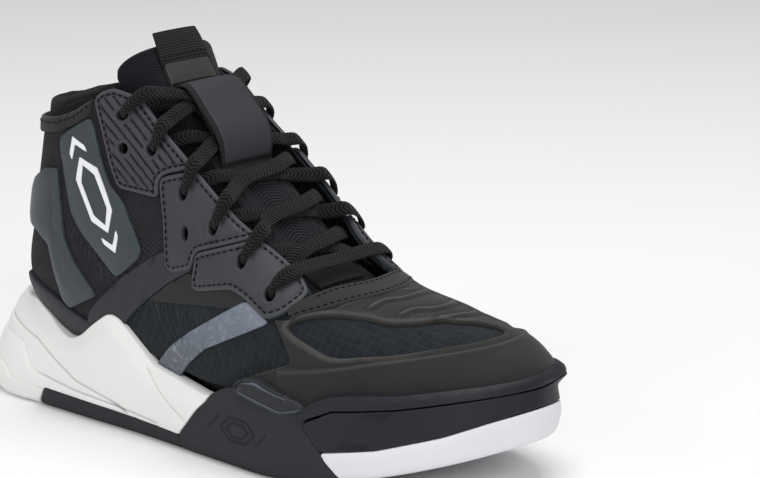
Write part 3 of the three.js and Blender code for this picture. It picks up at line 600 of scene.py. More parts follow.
def hole_loops(sheet, spots, radius):
    """Round loops of a true radius about (t, v) spots."""
    loops = []
    turn = np.linspace(0, 2 * np.pi, 20, endpoint=False)
    for t, v in spots:
        c = sheet.flat([(t, v)])
        grow = []
        for d in ((0.5, 0.0), (0.0, 0.5)):
            step = sheet.at(*(c + np.array([d])).T) - sheet.at(*c.T)
            grow.append(0.5 / np.linalg.norm(step))
        loops.append(c + np.stack([np.cos(turn) * grow[0], np.sin(turn) * grow[1]], 1) * radius)
    return loops


def stitches(name, rows, pitch=3.1, length=2.1, radius=0.36, finish="thread", body="shoe", sink=0.08):
    """Separate thread stitches along surface paths.  `rows` holds (points, normals) in mm.  Each
    stitch is a spindle: a ring of radius r sqrt(1 - c^4) at c, from -1 to 1 along its length."""
    c = np.array([-1.0, -0.72, 0.0, 0.72, 1.0])
    turn = np.linspace(0, 2 * np.pi, 6, endpoint=False)
    swell = np.sqrt(np.maximum(1 - c ** 4, 0.03))
    all_points, all_faces, base = [], [], 0
    ring = np.arange(6)
    quads = np.concatenate([np.stack([k * 6 + ring, k * 6 + (ring + 1) % 6, (k + 1) * 6 + (ring + 1) % 6,
                                      (k + 1) * 6 + ring], 1) for k in range(4)])
    tris = np.concatenate([quads[:, [0, 1, 2]], quads[:, [0, 2, 3]],
                           [[0, k + 1, k] for k in range(1, 5)],
                           [[24, 24 + k, 24 + k + 1] for k in range(1, 5)]])
    for points, normals in rows:
        s = np.r_[0, np.cumsum(np.linalg.norm(np.diff(points, axis=0), axis=1))]
        count = max(int(s[-1] / pitch), 1)
        mids = (np.arange(count) + 0.5) * s[-1] / count
        read = lambda m, rows_: np.stack([np.interp(m, s, rows_[:, k]) for k in range(3)], 1)
        p = read(mids, points)
        along = unit(read(mids + 0.5, points) - read(mids - 0.5, points))
        up = read(mids, normals)
        up = unit(up - along * (up * along).sum(1)[:, None])
        side = np.cross(along, up)
        p = p + up * (radius * 0.45 - sink)
        spindle = (p[:, None, None]
                   + along[:, None, None] * (c * length / 2)[None, :, None, None]
                   + side[:, None, None] * (swell[:, None] * np.cos(turn))[None, :, :, None] * radius
                   + up[:, None, None] * (swell[:, None] * np.sin(turn))[None, :, :, None] * radius * 0.8)
        all_points.append(spindle.reshape(-1, 3))
        all_faces.append((tris[None] + np.arange(count)[:, None, None] * 30 + base).reshape(-1, 3))
        base += count * 30
    return write_mesh(name, np.vstack(all_points), np.vstack(all_faces), finish=finish, body=body, sharp=0)


def row_on(sheet, line, off, closed=False):
    """A stitch row: points at `off` on the sheet and the surface normals there."""
    if closed:
        line = np.vstack([line, line[:1]])
    p = sheet.at(*line.T, off)
    return p, unit(sheet.at(*line.T, np.asarray(off) + 1.0) - p)


def tube(name, path, normals, widths, thick, ring=14, pattern=None, **mesh):
    """A flat oval carried along a path: across = w/2 cos a |cos a|^-0.3, up = h/2 sin a, with
    the oval's wide side square to the normals.  The two ends close on their middles."""
    n = len(path)
    along = unit(np.gradient(path, axis=0))
    up = unit(normals - along * (normals * along).sum(1)[:, None])
    side = np.cross(along, up)
    turn = np.linspace(0, 2 * np.pi, ring, endpoint=False)
    ca, sa = np.cos(turn), np.sin(turn)
    across = np.sign(ca) * np.abs(ca) ** 0.75
    s = np.r_[0, np.cumsum(np.linalg.norm(np.diff(path, axis=0), axis=1))]
    swell = 1 + (pattern(s[:, None], turn[None]) if pattern else np.zeros((n, ring)))
    half_width = widths[:, None] / 2 * across * (1 + (swell - 1) * 0.3)
    body = (path[:, None] + side[:, None] * half_width[..., None]
            + up[:, None] * (np.reshape(thick, (-1, 1)) / 2 * sa * swell)[..., None])
    i, j = (a.ravel() for a in np.meshgrid(np.arange(n - 1), np.arange(ring), indexing="ij"))
    k = (j + 1) % ring
    quads = np.stack([i * ring + j, (i + 1) * ring + j, (i + 1) * ring + k, i * ring + k], 1)
    faces = [*quads.tolist()]
    points = np.vstack([body.reshape(-1, 3), path[:1], path[-1:]])
    q = np.arange(ring)
    faces += np.stack([q, (q + 1) % ring, np.full(ring, n * ring)], 1).tolist()
    last = (n - 1) * ring
    faces += np.stack([last + (q + 1) % ring, last + q, np.full(ring, n * ring + 1)], 1).tolist()
    uv = np.stack([np.repeat(s, ring), np.tile(turn, n) / (2 * np.pi) * 16.0], 1)
    uv = np.vstack([uv, uv[:1], uv[-1:]])
    return write_mesh(name, points, faces, uv, sharp=0, **mesh)


# ---- finishes -----------------------------------------------------------------------------------
class Value:
    """A node's output.  Python's arithmetic on it adds Math nodes."""

    def __init__(self, tree, out):
        self.tree, self.out = tree, out

    def op(self, operation, *terms):
        """A Math node on the given terms."""
        sockets = {f"_{k}": term for k, term in enumerate(terms)}
        return add_node(self.tree, "Math", 0, {"operation": operation}, **sockets)

    def __add__(self, o): return self.op("ADD", self, o)
    def __radd__(self, o): return self.op("ADD", o, self)
    def __sub__(self, o): return self.op("SUBTRACT", self, o)
    def __rsub__(self, o): return self.op("SUBTRACT", o, self)
    def __mul__(self, o): return self.op("MULTIPLY", self, o)
    def __rmul__(self, o): return self.op("MULTIPLY", o, self)
    def __truediv__(self, o): return self.op("DIVIDE", self, o)
    def __pow__(self, o): return self.op("POWER", self, o)
    def sin(self): return self.op("SINE", self)
    def abs(self): return self.op("ABSOLUTE", self)
    def step(self, low, high):
        """0 below `low`, 1 over `high`, eased between."""
        settings = {"interpolation_type": "SMOOTHSTEP", "clamp": True}
        return add_node(self.tree, "MapRange", "Result", settings, Value=self, From_Min=low, From_Max=high)


def add_node(tree, kind, output=0, settings=None, **inputs):
    """Adds a node: its settings first, then values or links for its sockets.

    A socket is named, with _ for a space, or given by number as _0, _1 and so on.  With `output`
    None, all the outputs come back.
    """
    node = tree.nodes.new("ShaderNode" + kind)
    for key, value in (settings or {}).items():
        setattr(node, key, value)
    for key, value in inputs.items():
        slot = node.inputs[int(key[1:])] if key[0] == "_" else node.inputs[key.replace("_", " ")]
        if isinstance(value, Value):
            tree.links.new(value.out, slot)
        else:
            slot.default_value = value
    return [Value(tree, out) for out in node.outputs] if output is None else Value(tree, node.outputs[output])


class Finish:
    """A material under construction: its tree, its shader and what it is painted with."""

    def __init__(self, name, **constants):
        self.material = bpy.data.materials.new(name)
        self.material.use_nodes = True
        self.tree = self.material.node_tree
        self.tree.nodes.clear()
        self.shader = self.tree.nodes.new("ShaderNodeBsdfPrincipled")
        out = self.tree.nodes.new("ShaderNodeOutputMaterial")
        self.tree.links.new(self.shader.outputs[0], out.inputs[0])
        for key, value in constants.items():
            self.shader.inputs[key.replace("_", " ")].default_value = value

    def node(self, kind, output=0, settings=None, **inputs):
        """Adds a node to this material."""
        return add_node(self.tree, kind, output, settings, **inputs)

    def place(self):
        """Object coordinates, in metres."""
        return self.node("TexCoord", "Object")

    def pattern(self):
        """The piece's own pattern coordinates, in mm along and across."""
        uv = self.node("UVMap", settings={"uv_map": "Pattern"})
        return self.node("SeparateXYZ", None, _0=uv)[:2]

    def axes(self):
        """Object coordinates apart, in mm."""
        return [value * 1000.0 for value in self.node("SeparateXYZ", None, _0=self.place())]

    def mark(self, name):
        """A value carried by the mesh's points."""
        return self.node("Attribute", "Fac", {"attribute_name": name})

    def noise(self, size, detail=3.0, rough=0.55, distort=0.0):
        """Noise whose cells are about `size` mm across."""
        return self.node("TexNoise", 0, Vector=self.place(), Scale=1000.0 / size, Detail=detail,
                         Roughness=rough, Distortion=distort)

    def cells(self, size, feature="F1"):
        """Distance to the nearest of scattered points about `size` mm apart."""
        return self.node("TexVoronoi", 0, {"feature": feature}, Vector=self.place(), Scale=1000.0 / size)

    def mix(self, factor, a, b):
        """Colour between a and b."""
        return self.node("Mix", 2, {"data_type": "RGBA"}, _0=factor, _6=as_colour(a), _7=as_colour(b))

    def paint(self, colour, roughness=None, height=None, strength=1.0, distance=0.0004, **links):
        """Joins what varies to the shader, heights (0 to 1) through a Bump node."""
        links["Base_Color"] = colour
        if roughness is not None:
            links["Roughness"] = roughness
        for key, value in links.items():
            slot = self.shader.inputs[key.replace("_", " ")]
            if isinstance(value, Value):
                self.tree.links.new(value.out, slot)
            else:
                slot.default_value = as_colour(value) if key == "Base_Color" else value
        if height is not None:
            bump = self.node("Bump", 0, Strength=strength, Distance=distance, Height=height)
            self.tree.links.new(bump.out, self.shader.inputs["Normal"])
        return self.material


def as_colour(c):
    """RGB as RGBA; links stay as they are."""
    return c if isinstance(c, Value) or len(c) == 4 else (*c, 1.0)


def shade(c, k):
    """A colour made k times as bright."""
    return tuple(min(x * k, 1.0) for x in c[:3])


def linear(r, g, b):
    """A screen colour (0 to 255) as light."""
    return tuple(((x / 255) / 12.92 if x / 255 <= 0.04045 else ((x / 255 + 0.055) / 1.055) ** 2.4)
                 for x in (r, g, b))


FINISHES = {}
TAU = 2 * math.pi


def grained(name, colour, roughness, grain=0.5, depth=0.3, worn=1.5, spread=0.12, gloss=0.3, **constants):
    """Moulded rubber, foam and plastic: fine grain, slow change of tone, lighter worn edges, and painted
    shade darkening its recesses.
    """
    f = Finish(name, Specular_IOR_Level=gloss, **constants)
    slow, fine = f.noise(26.0), f.noise(grain, 2.0)
    worn_edge = (1 - f.mark("edge").step(0.15, 1.1)) * f.noise(3.0).step(0.3, 0.7)
    base = f.mix(slow, shade(colour, 1 - spread), shade(colour, 1 + spread))
    # painted shade: where the relief sinks (grooves, engravings, dents) the colour is darkened towards 0.45
    # of itself
    recess_shade = f.mark("relief").step(-0.55, -0.12)
    dark = f.mix(recess_shade, shade(colour, 0.45), base)
    tone = f.mix(worn_edge * 0.75, dark, shade(colour, worn))
    return f.paint(tone, roughness + (fine - 0.5) * 0.14, fine + f.cells(grain * 2.2) * 0.5, depth)


def hide(name, colour, roughness=0.52, worn=1.75, grooves=False, grain=1.1):
    """Smooth-grain leather: pebbled cells, creases, a paler cut edge, and painted shade in its grooves."""
    f = Finish(name, Specular_IOR_Level=0.32)
    slow, fine = f.noise(18.0), f.noise(0.7, 3.0)
    pebbles = f.cells(grain, "SMOOTH_F1") + f.noise(2.2, 4.0) * 0.6
    base = f.mix(slow, shade(colour, 0.86), shade(colour, 1.16))
    edge = f.mark("edge")
    rim = (1 - edge.step(0.9, 2.1)) * 0.5 + (1 - f.mark("hole").step(0.2, 1.6)) * 0.35
    tone = f.mix(rim, base, shade(colour, worn))
    # painted shade: the colour is darkened to 0.22 of itself in the relief's grooves and stitch channels
    groove_shade = f.mark("relief").step(-0.5, -0.05 if grooves else -0.1)
    tone = f.mix(groove_shade, shade(colour, 0.22), tone)
    return f.paint(tone, roughness + fine * 0.12, pebbles, 0.25, 0.00025)


def woven(name, colour, light, pitch=0.9, skew=0.35, depth=0.6, lines=0.0, roughness=0.85, sheen=0.06):
    """Plain weave: threads over and under on a grid of `pitch` mm, optionally with thicker
    check lines every `lines` mm."""
    f = Finish(name, Specular_IOR_Level=0.12, Sheen_Weight=sheen, Sheen_Roughness=0.5)
    u, v = f.pattern()
    u, v = u + v * skew, v - u * skew
    a, b = (u * (TAU / 2 / pitch)).sin(), (v * (TAU / 2 / pitch)).sin()
    over = (a * b).step(-0.25, 0.25)
    thread = over * (1 - b.abs()) + (1 - over) * (1 - a.abs())
    height = 1 - thread * 0.8
    tone = f.mix(height.step(0.25, 0.95), shade(colour, 0.45), light)
    tone = f.mix(f.noise(7.0).step(0.3, 0.75) * 0.5, tone, shade(colour, 0.8))
    if lines:
        check = (u * (TAU / lines)).sin().step(0.93, 0.99) + (v * (TAU / lines)).sin().step(0.93, 0.99)
        tone = f.mix(check.op("MINIMUM", check, 1.0) * 0.4, tone, shade(light, 1.5))
        height = height + check * 0.7
    return f.paint(tone, roughness, height, depth, 0.0003)


def knitted(name, colour, light, rib=1.1, cross=1.6, depth=0.7, sheen=0.08):
    """Spacer mesh and knit: fine ribs along with small loops across them."""
    f = Finish(name, Specular_IOR_Level=0.12, Sheen_Weight=sheen, Sheen_Roughness=0.45)
    u, v = f.pattern()
    wander = f.noise(6.0) * 0.8
    ribs = ((v + wander * 0.4) * (TAU / rib)).sin()
    loops = ((u + v * 0.4) * (TAU / cross)).sin()
    height = ribs * 0.5 + 0.5 + loops * 0.35 * ribs.step(-0.2, 0.6)
    tone = f.mix(height.step(0.1, 1.2), shade(colour, 0.5), light)
    tone = f.mix(f.noise(12.0).step(0.35, 0.8) * 0.45, tone, shade(colour, 0.7))
    return f.paint(tone, 0.88, height, depth, 0.00035)


def ribbed_tape(name, colour, light, rib=1.35, across=False, depth=0.8, sheen=0.06):
    """Webbing: rounded ribs across the tape with a fine thread along each."""
    f = Finish(name, Specular_IOR_Level=0.12, Sheen_Weight=sheen)
    u, v = f.pattern()
    u, v = (v, u) if across else (u, v)
    ribs = (u * (TAU / rib)).sin() * 0.5 + 0.5
    thread = ((v * 2.0 + u * 1.3) * (TAU / 1.6)).sin() * 0.5 + 0.5
    height = ribs + thread * 0.25
    tone = f.mix(height.step(0.1, 1.1), shade(colour, 0.5), light)
    return f.paint(tone, 0.85, height, depth, 0.00035)


def herringbone(name, colour, light, pitch=1.5, band=6.5):
    """Woven chevrons: diagonal ribs whose slant turns over at every half band."""
    f = Finish(name, Specular_IOR_Level=0.12, Sheen_Weight=0.08)
    u, v = f.pattern()
    zigzag = (v / band).op("PINGPONG", v / band, 0.5) * band
    ribs = ((u * 0.75 + zigzag) * (TAU / pitch)).sin() * 0.5 + 0.5
    tone = f.mix(ribs.step(0.2, 0.85), shade(colour, 0.4), light)
    return f.paint(tone, 0.86, ribs, 0.9, 0.0004)


def braided(name, colour, light):
    """Flat braid: strands slant across the upper face and back, meeting in chevrons."""
    f = Finish(name, Specular_IOR_Level=0.12, Sheen_Weight=0.08, Sheen_Roughness=0.4)
    u, v = f.pattern()
    fold = (v / 8.0).op("PINGPONG", v / 8.0, 0.5) * 8.0
    strand = ((u + fold * 0.9) * (TAU / 1.9)).sin() * 0.5 + 0.5
    fibre = ((u - fold * 1.7) * (TAU / 0.75)).sin() * 0.5 + 0.5
    height = strand + fibre * 0.22
    tone = f.mix(height.step(0.12, 1.05), shade(colour, 0.28), light)
    tone = f.mix(f.noise(9.0).step(0.3, 0.8) * 0.4, tone, shade(colour, 0.75))
    return f.paint(tone, 0.82, height, 1.0, 0.0005)


def brushed(name, colour, lit, roughness=0.88):
    """Brushed synthetic nubuck: soft mottling, a fine nap, painted highlight on raised ridges and edges, and
    painted shade in grooves.
    """
    f = Finish(name, Specular_IOR_Level=0.12, Sheen_Weight=0.12, Sheen_Roughness=0.55)
    slow, nap = f.noise(14.0, 4.0), f.noise(0.45, 2.0)
    # painted highlight: where the relief is raised the colour is lightened towards the lit nap colour
    high = f.mark("relief").step(0.1, 1.3)
    base = f.mix(slow, shade(colour, 0.85), shade(colour, 1.15))
    tone = f.mix(high * 0.55 + nap * 0.12, base, lit)
    # painted shade: where the relief sinks the colour is darkened to 0.35 of itself
    tone = f.mix(f.mark("relief").step(-0.7, -0.08), shade(colour, 0.35), tone)
    return f.paint(tone, roughness, nap, 0.35, 0.0003)


def mottled_film(name, colour, lit):
    """Retroreflective tape: silvery blotches over a darker ground, with painted light that brightens it
    towards its top.
    """
    f = Finish(name, Specular_IOR_Level=0.6, Coat_Weight=0.25, Coat_Roughness=0.25)
    _, _, z = f.axes()
    blotch = f.noise(2.6, 5.0, 0.7, 0.6)
    # painted light: the ground is darker low down and brighter towards the top
    ground = f.mix(z.step(34.0, 66.0), shade(colour, 0.62), shade(colour, 1.35))
    tone = f.mix(blotch.step(0.48, 0.68) * 0.7, ground, lit)
    return f.paint(tone, 0.38 + blotch * 0.25, blotch, 0.15, 0.0002)


def plain_steel(name, colour):
    """Strip steel with rolling marks."""
    f = Finish(name, Metallic=0.9)
    x, _, _ = f.axes()
    marks = ((x + f.noise(5.0) * 3.0) * (TAU / 0.6)).sin()
    return f.paint(f.mix(f.noise(8.0), shade(colour, 0.85), shade(colour, 1.1)), 0.38, marks, 0.1)


def make_finishes(c):
    """All the finishes, from the colour settings."""
    FINISHES.update({
        "white_foam": grained("white_foam", c.foam, 0.62, 0.6, 0.12, 1.03, 0.02),
        "white_rubber": grained("white_rubber", c.toe_rubber, 0.5, 0.8, 0.1, 1.05, 0.03),
        "charcoal_rubber": grained("charcoal_rubber", c.shell, 0.66, 0.45, 0.25, 1.5),
        "bumper_rubber": grained("bumper_rubber", c.bumper, 0.52, 0.5, 0.2, 1.8),
        "strap": grained("strap", c.strap, 0.6, 0.4, 0.2, 1.3),
        "tpu": grained("tpu", c.ankle_plate, 0.42, 1.2, 0.08, 1.5, 0.06),
        "paint": grained("paint", c.graphic, 0.45, 1.0, 0.05, 1.0, 0.01),
        "film": grained("film", c.film, 0.62, 0.9, 0.12, 1.35),
        "leather": hide("leather", c.leather),
        "ribbed_leather": hide("ribbed_leather", c.ribbed, 0.5, 1.6, True, 0.9),
        "ballistic": woven("ballistic", c.ballistic, shade(c.ballistic, 4.5), 1.0, 0.3, 0.9),
        "mesh": woven("mesh", c.mesh, shade(c.mesh, 4.5), 0.8, 0.0, 0.7, 4.2),
        "nubuck": brushed("nubuck", c.nubuck, c.nubuck_lit),
        "reflective": mottled_film("reflective", c.tape, c.tape_lit),
        "tongue": knitted("tongue", c.tongue, shade(c.tongue, 3.5), 1.2, 2.2),
        "lining": knitted("lining", c.lining, shade(c.lining, 2.0), 1.6, 1.9),
        "webbing": ribbed_tape("webbing", c.webbing, shade(c.webbing, 2.0)),
        "tab_webbing": ribbed_tape("tab_webbing", c.webbing, shade(c.webbing, 1.9), 1.7),
        "herringbone": herringbone("herringbone", c.tongue, shade(c.tongue, 3.2)),
        "band": grained("band", c.band, 0.75, 0.5, 0.2, 1.25),
        "badge": grained("badge", c.badge, 0.32, 1.5, 0.05, 1.4),
        "lace": braided("lace", c.lace, shade(c.lace, 2.1)),
        "thread": braided("thread", c.thread, shade(c.thread, 1.8)),
        "board": grained("board", c.board, 0.9, 0.8, 0.3, 1.1),
        "guard": grained("guard", c.guard, 0.9, 0.9, 0.4, 1.1),
        "insole": knitted("insole", c.guard, shade(c.guard, 1.6), 1.4, 1.6),
        "badge_plate": grained("badge_plate", c.shell, 0.5, 0.6, 0.15, 1.6),
        "badge_line": grained("badge_line", c.tape, 0.5, 0.8, 0.05, 1.1),
        "steel": plain_steel("steel", c.steel),
    })


# ---- the sole -------------------------------------------------------------------------------------
HEEL_FRONT = [(14, 45), (13, 29), (-5, 7), (-7, -9)]
STRIP = [(-103, -9), (-97, 9.5), (-50, 8.5), (-5, 7)]
BUMPER_BACK = [(85, 41), (70, 27.5), (80, 17)]
TOE_SPLIT = [(94, -9), (88, 6), (80, 17), (104, 21), (128, 28), (140, 33), (152, 37)]
GROOVES = [  # parting lines round the white midsole, in side view from the heel forward
    [(-152, 36), (-128, 33.5), (-107, 30), (-76, 17), (-47, 12), (-40, 9)],
    [(-152, 28), (-130, 28), (-117, 26.5), (-107, 16.5), (-78, 12.6), (-46, 11), (-20, 9.2)],
    [(-152, 17), (-138, 16.5), (-125, 14), (-121, 10.5), (-112, 9.2), (-99, 8.9)],
]


def top_line(x0, x1, step=2.5, drop=0.0):
    """The sole wall's upper edge between two x, as side-view points."""
    x = np.linspace(x0, x1, max(int(abs(x1 - x0) / step), 2))
    z = sum(np.interp(x + d, *WALL_TOP.T) for d in (-2.2, -0.8, 0.8, 2.2)) / 4
    return np.stack([x, z - drop], 1)


def wall_loop(wall, line, heel):
    """A loop on the wall that is alike on both sides: `line` runs in side view from the upper
    edge at one end to the lower edge, and each end of it crosses the heel or the toe."""
    outer = wall.flat(divided(np.asarray(line, float), 1.6, False), -1, heel)
    inner = wall.flat(divided(np.asarray(line, float), 1.6, False), 1, heel)
    return np.vstack([outer, inner[::-1]])


def lines_on(wall, line, heel):
    """A side-view line as one wall line across the heel or toe, inner side to outer side."""
    outer = wall.flat(divided(np.asarray(line, float), 1.5, False), -1, heel)
    inner = wall.flat(divided(np.asarray(line, float), 1.5, False), 1, heel)
    return [outer, inner]


def build_sole(sizes):
    """The five moulded pieces of the sole, the toe lip and the treads."""
    wall = WallSheet()
    rim = sizes.sole_edge * 1000

    # White heel midsole: from its peak back round the heel, cut away below for the strip.
    line = np.vstack([[(-151.2, 46.9)], top_line(-150, 13.6), HEEL_FRONT[1:3], STRIP[:1:-1][1:],
                      STRIP[1:2], [(-103, 1.0)], [(-103.6, -9)], [(-151.2, -9)]])
    seams = [lines_on(wall, g, True) for g in GROOVES]
    joined = [np.vstack([pair[1][::-1], pair[0]]) for pair in seams]
    flap = [wall.flat(rounded([(-30, 31), (-16, 21), (2, 12.5)], 4, False), s, True) for s in (-1, 1)]

    def midsole_relief(q):
        chart = np.stack([q.a, q.b], 1)
        deep = np.zeros(len(q.a))
        for k, pair in enumerate(seams):
            d = distance_to(chart, joined[k:k + 1], False)
            deep = deep - 0.45 * bell(d, 0.6)
            knots = np.vstack([pair[1][::-1], pair[0]])
            line_h = np.interp(q.a, knots[:, 0], knots[:, 1], left=-50, right=-50)
            back = smooth((80 - np.abs(q.a)) / 40)
            deep = deep + (0.75, 0.8, 0.5)[k] * back * smooth((line_h - q.b) / 1.6) * (q.b > 0)
        return deep - 0.4 * bell(distance_to(chart, flap, False), 0.5)

    panel("heel_midsole_foam", wall, [wall_loop(wall, line, True)], 0, 0, midsole_relief, 2.0, rim,
          guides=[*joined, *flap], bend=lean, under_points=wall.inside,
          finish="white_foam", slot="white_foam", stands_for="heel_midsole")

    # Charcoal strip under the arch, one on each side, joined under the sole by the tread.
    for side, tag in ((-1, "lateral"), (1, "medial")):
        line = np.vstack([[STRIP[1]], STRIP[2:], HEEL_FRONT[3:], [(-102.4, -9)], [(-102.4, 1.0)]])
        loop = wall.flat(rounded(line, 0.8), side, True)
        panel(f"rear_outsole_{tag}", wall, [loop], 0, -0.1, None, 2.0, 0.6, under_points=wall.inside,
              finish="charcoal_rubber", slot="charcoal_rubber",
              stands_for="rear_outsole" if side < 0 else ())

    # Charcoal shell round the ball of the foot, with an engraved hexagon.
    centre = np.array([34.0, 17.5])
    for side, tag in ((-1, "lateral"), (1, "medial")):
        line = np.vstack([HEEL_FRONT[3:1:-1], HEEL_FRONT[1:2], top_line(13.6, 66), [(74.5, 36.8)],
                          [(79, 38.6)], [(84, 40)], BUMPER_BACK[1:], TOE_SPLIT[1::-1]])
        loop = wall.flat(rounded(line, 0.8), side)
        hexagons = []
        for grow in (1.0, 0.62):
            k = np.arange(6) * np.pi / 3
            hexagons.append(wall.flat(centre + np.stack([np.cos(k) * 11, np.sin(k) * 5.5], 1) * grow, side))
        slash = wall.flat(centre + np.array([(-18, -1.5), (-13, 3.5)]), side)
        slash_fore = wall.flat(centre + np.array([(13, -3.5), (18, 1.5)]), side)

        def shell_relief(q, hexagons=hexagons, slash=slash, slash_fore=slash_fore):
            chart = np.stack([q.a, q.b], 1)
            deep = -0.6 * bell(distance_to(chart, hexagons), 0.6)
            deep = deep - 0.55 * bell(distance_to(chart, [slash, slash_fore], False), 0.6)
            return deep + 0.3 * smooth((q.b - 24) / 3) * smooth((44 - q.b) / 6)

        panel(f"forefoot_shell_{tag}", wall, [loop], 0, 0, shell_relief, 1.8, rim,
              guides=[*(np.vstack([h, h[:1]]) for h in hexagons), slash, slash_fore], bend=lean,
              under_points=wall.inside, finish="charcoal_rubber", slot="charcoal_rubber",
              stands_for="forefoot_shell" if side < 0 else ())

    # Toe lip, bumper and toe outsole run round the toe.
    low = np.array([(70.5, 27.9), (85, 35.0), (112, 38.6), (134, 42.6), (150, 44.6)])
    lip = np.vstack([top_line(66, 148)[::-1], [(70.4, 28.7)], low[1:-1] + [0, 0.1], [(148.2, 44.6)]])

    def lip_lean(q):
        """The lip leans out only above its lower edge."""
        above = q.p[:, 2] - np.interp(q.p[:, 0], *low.T)
        return lean(q, 1.6, 4.5, 12.0) * smooth((above - 2.0) / 3)

    panel("toe_lip", wall, [wall_loop(wall, lip, False)], 0, 0.15, None, 1.3, 0.6, bend=lip_lean,
          under_points=wall.inside, finish="bumper_rubber", slot="bumper_rubber")
    body = np.vstack([[(148.2, 44.0)], low[::-1][1:] - [0, 0.5], [(70.3, 27.3)], BUMPER_BACK[2:],
                      TOE_SPLIT[3:6], [(148.2, 36)]])
    dents = [wall.flat(rounded(d, 1.0), -1) for d in (
        [(96, 37.5), (99, 33.4), (109, 34.8), (113, 40)], [(86, 17.5), (89, 22.5), (100, 24.2), (104, 20)])]

    def bumper_relief(q):
        chart = np.stack([q.a, q.b], 1)
        dip = np.zeros(len(q.a))
        for d in dents:
            inside = contains(chart, [d])
            gap = distance_to(chart, [d])
            dip = dip - 0.5 * np.where(inside, smooth(gap / 0.7 + 0.5), smooth(0.5 - gap / 0.7))
        return dip

    panel("toe_bumper_body", wall, [wall_loop(wall, body, False)], 0, 0.0, bumper_relief, 1.7, 0.5,
          under_points=wall.inside, finish="bumper_rubber", slot="bumper_rubber", stands_for="toe_bumper")
    toe = np.vstack([[(148.2, 35.4)], np.array(TOE_SPLIT[2:6])[::-1] - [0, 0.45],
                     [(88.6, 6)], [(94.6, -9)], [(148.2, -9)]])
    panel("toe_outsole_cap", wall, [wall_loop(wall, toe, False)], 0, 0.1, None, 1.9, rim,
          under_points=wall.inside, finish="white_rubber", slot="white_rubber", stands_for="toe_outsole")
    build_tread(sizes)
    return wall


class GroundSheet:
    """The underside of the sole in plan, offsets counted downwards from 1.4 mm over its line."""

    def at(self, x, y, off=0.0):
        slope = (spring(x + 0.5) - spring(x - 0.5))
        down = unit(np.stack([slope, 0 * x, -np.ones(len(x))], 1))
        return np.c_[x, y, spring(x) + 1.6] + down * np.reshape(off, (-1, 1))


def build_tread(sizes):
    """Three tread plates: zigzag lugs at the heel and arch, rings under the ball, bars at the toe."""
    ground = GroundSheet()
    n = len(SOLE_OUTLINE)
    closed = np.vstack([SOLE_OUTLINE[-1], SOLE_OUTLINE, SOLE_OUTLINE[:2]])
    loop = catmull(closed, np.linspace(0, n, 400)[:-1] + 1)
    along = unit(np.roll(loop, -1, 0) - np.roll(loop, 1, 0))
    loop = loop - np.stack([along[:, 1], -along[:, 0]], 1) * 8.5
    depth = sizes.tread_depth * 1000

    def lugs(q):
        x, y = q.a, q.b
        zigzag = np.abs((y / 14 + 0.25) % 1 - 0.5) * 14
        bars = np.sin((x + zigzag) * TAU / 8.5)
        r = np.hypot(x - 62, (y - 1) * 0.9)
        rings = np.where(r < 34, np.sin(r * TAU / 7.5), bars)
        return depth * (smooth((rings + 0.55) * 2.2) - 1) * smooth((q.edge - 1.5) / 1.2)

    parts = [("heel_tread", -160, -103.5, "white_foam", "white_foam"),
             ("rear_tread", -103.1, -7, "charcoal_rubber", "charcoal_rubber"),
             ("forefoot_tread", -6.6, 93.6, "charcoal_rubber", "charcoal_rubber"),
             ("toe_tread", 94.2, 160, "white_rubber", "white_rubber")]
    for name, x0, x1, finish, slot in parts:
        cut = clip_x(clip_x(loop, x0, 1), x1, -1)
        panel(name, ground, [cut], -0.6, 1.42, lugs, 1.7, 0.5, finish=finish, slot=slot)


def clip_x(loop, x, keep):
    """The part of a loop on one side of an x plane."""
    made = []
    for (x0, y0), (x1, y1) in zip(loop, np.roll(loop, -1, 0)):
        a, b = (x0 - x) * keep, (x1 - x) * keep
        if a >= 0:
            made.append((x0, y0))
        if a * b < 0:
            made.append((x, y0 + (y1 - y0) * a / (a - b)))
    return np.array(made)


# ---- the upper ------------------------------------------------------------------------------------
SIDES = ((-1, "lateral"), (1, "medial"))
UPPER_EDGE = [(-115, 131), (-88, 134.5), (-76, 139), (-65, 146.5), (-56, 150.5), (-44, 147.5), (-27, 133),
              (-11, 122), (2, 111.5)]
FRONT_EDGE = [(2, 111.5), (13, 103), (23, 96), (45, 81), (53.5, 75)]
FABRIC_SEAM = [(2, 111.5), (-1, 96), (-1, 84), (-14, 77), (-28, 71), (-42, 57), (-52, 44), (-60, 30)]
THROAT_REAR = [(44.6, -46), (54.6, -28), (59, -10), (60.5, 2), (59, 14), (54.5, 27), (43, 45)]
THROAT_FRONT = [(45.5, -52), (52, -41), (61, -29), (68, -12), (70, 2), (68, 15), (60, 29), (51, 39), (44, 50)]
TOE_FOOT = [(3.9, 0.56), (2.67, 0.56), (1.88, 0.55), (1.24, 0.53), (0.8, 0.48), (0.5, 0.38), (0.28, 0.22),
            (0.18, 0.0)]


def heel_loop(line, top, bottom, off=1.5):
    """A loop round the heel in (t, v): `line` runs in side view from near the heel's back at
    the top, forward and round to near the back at the bottom."""
    outer = on_side(divided(np.asarray(line, float), 2.5, False), -1, off)
    inner = on_side(divided(np.asarray(line, float), 2.5, False), 1, off)
    outer[:, 1] += 2
    return np.vstack([on_heel(top, off), outer, on_heel(bottom, off), inner[::-1]])


def half_heel_loop(line, top, bottom, side, off=1.5):
    """The same for one side only, ending at the middle of the heel."""
    part = on_side(divided(np.asarray(line, float), 2.5, False), side, off)
    if side < 0:
        part[:, 1] += 2
    return np.vstack([on_heel(top, off), part, on_heel(bottom, off)])


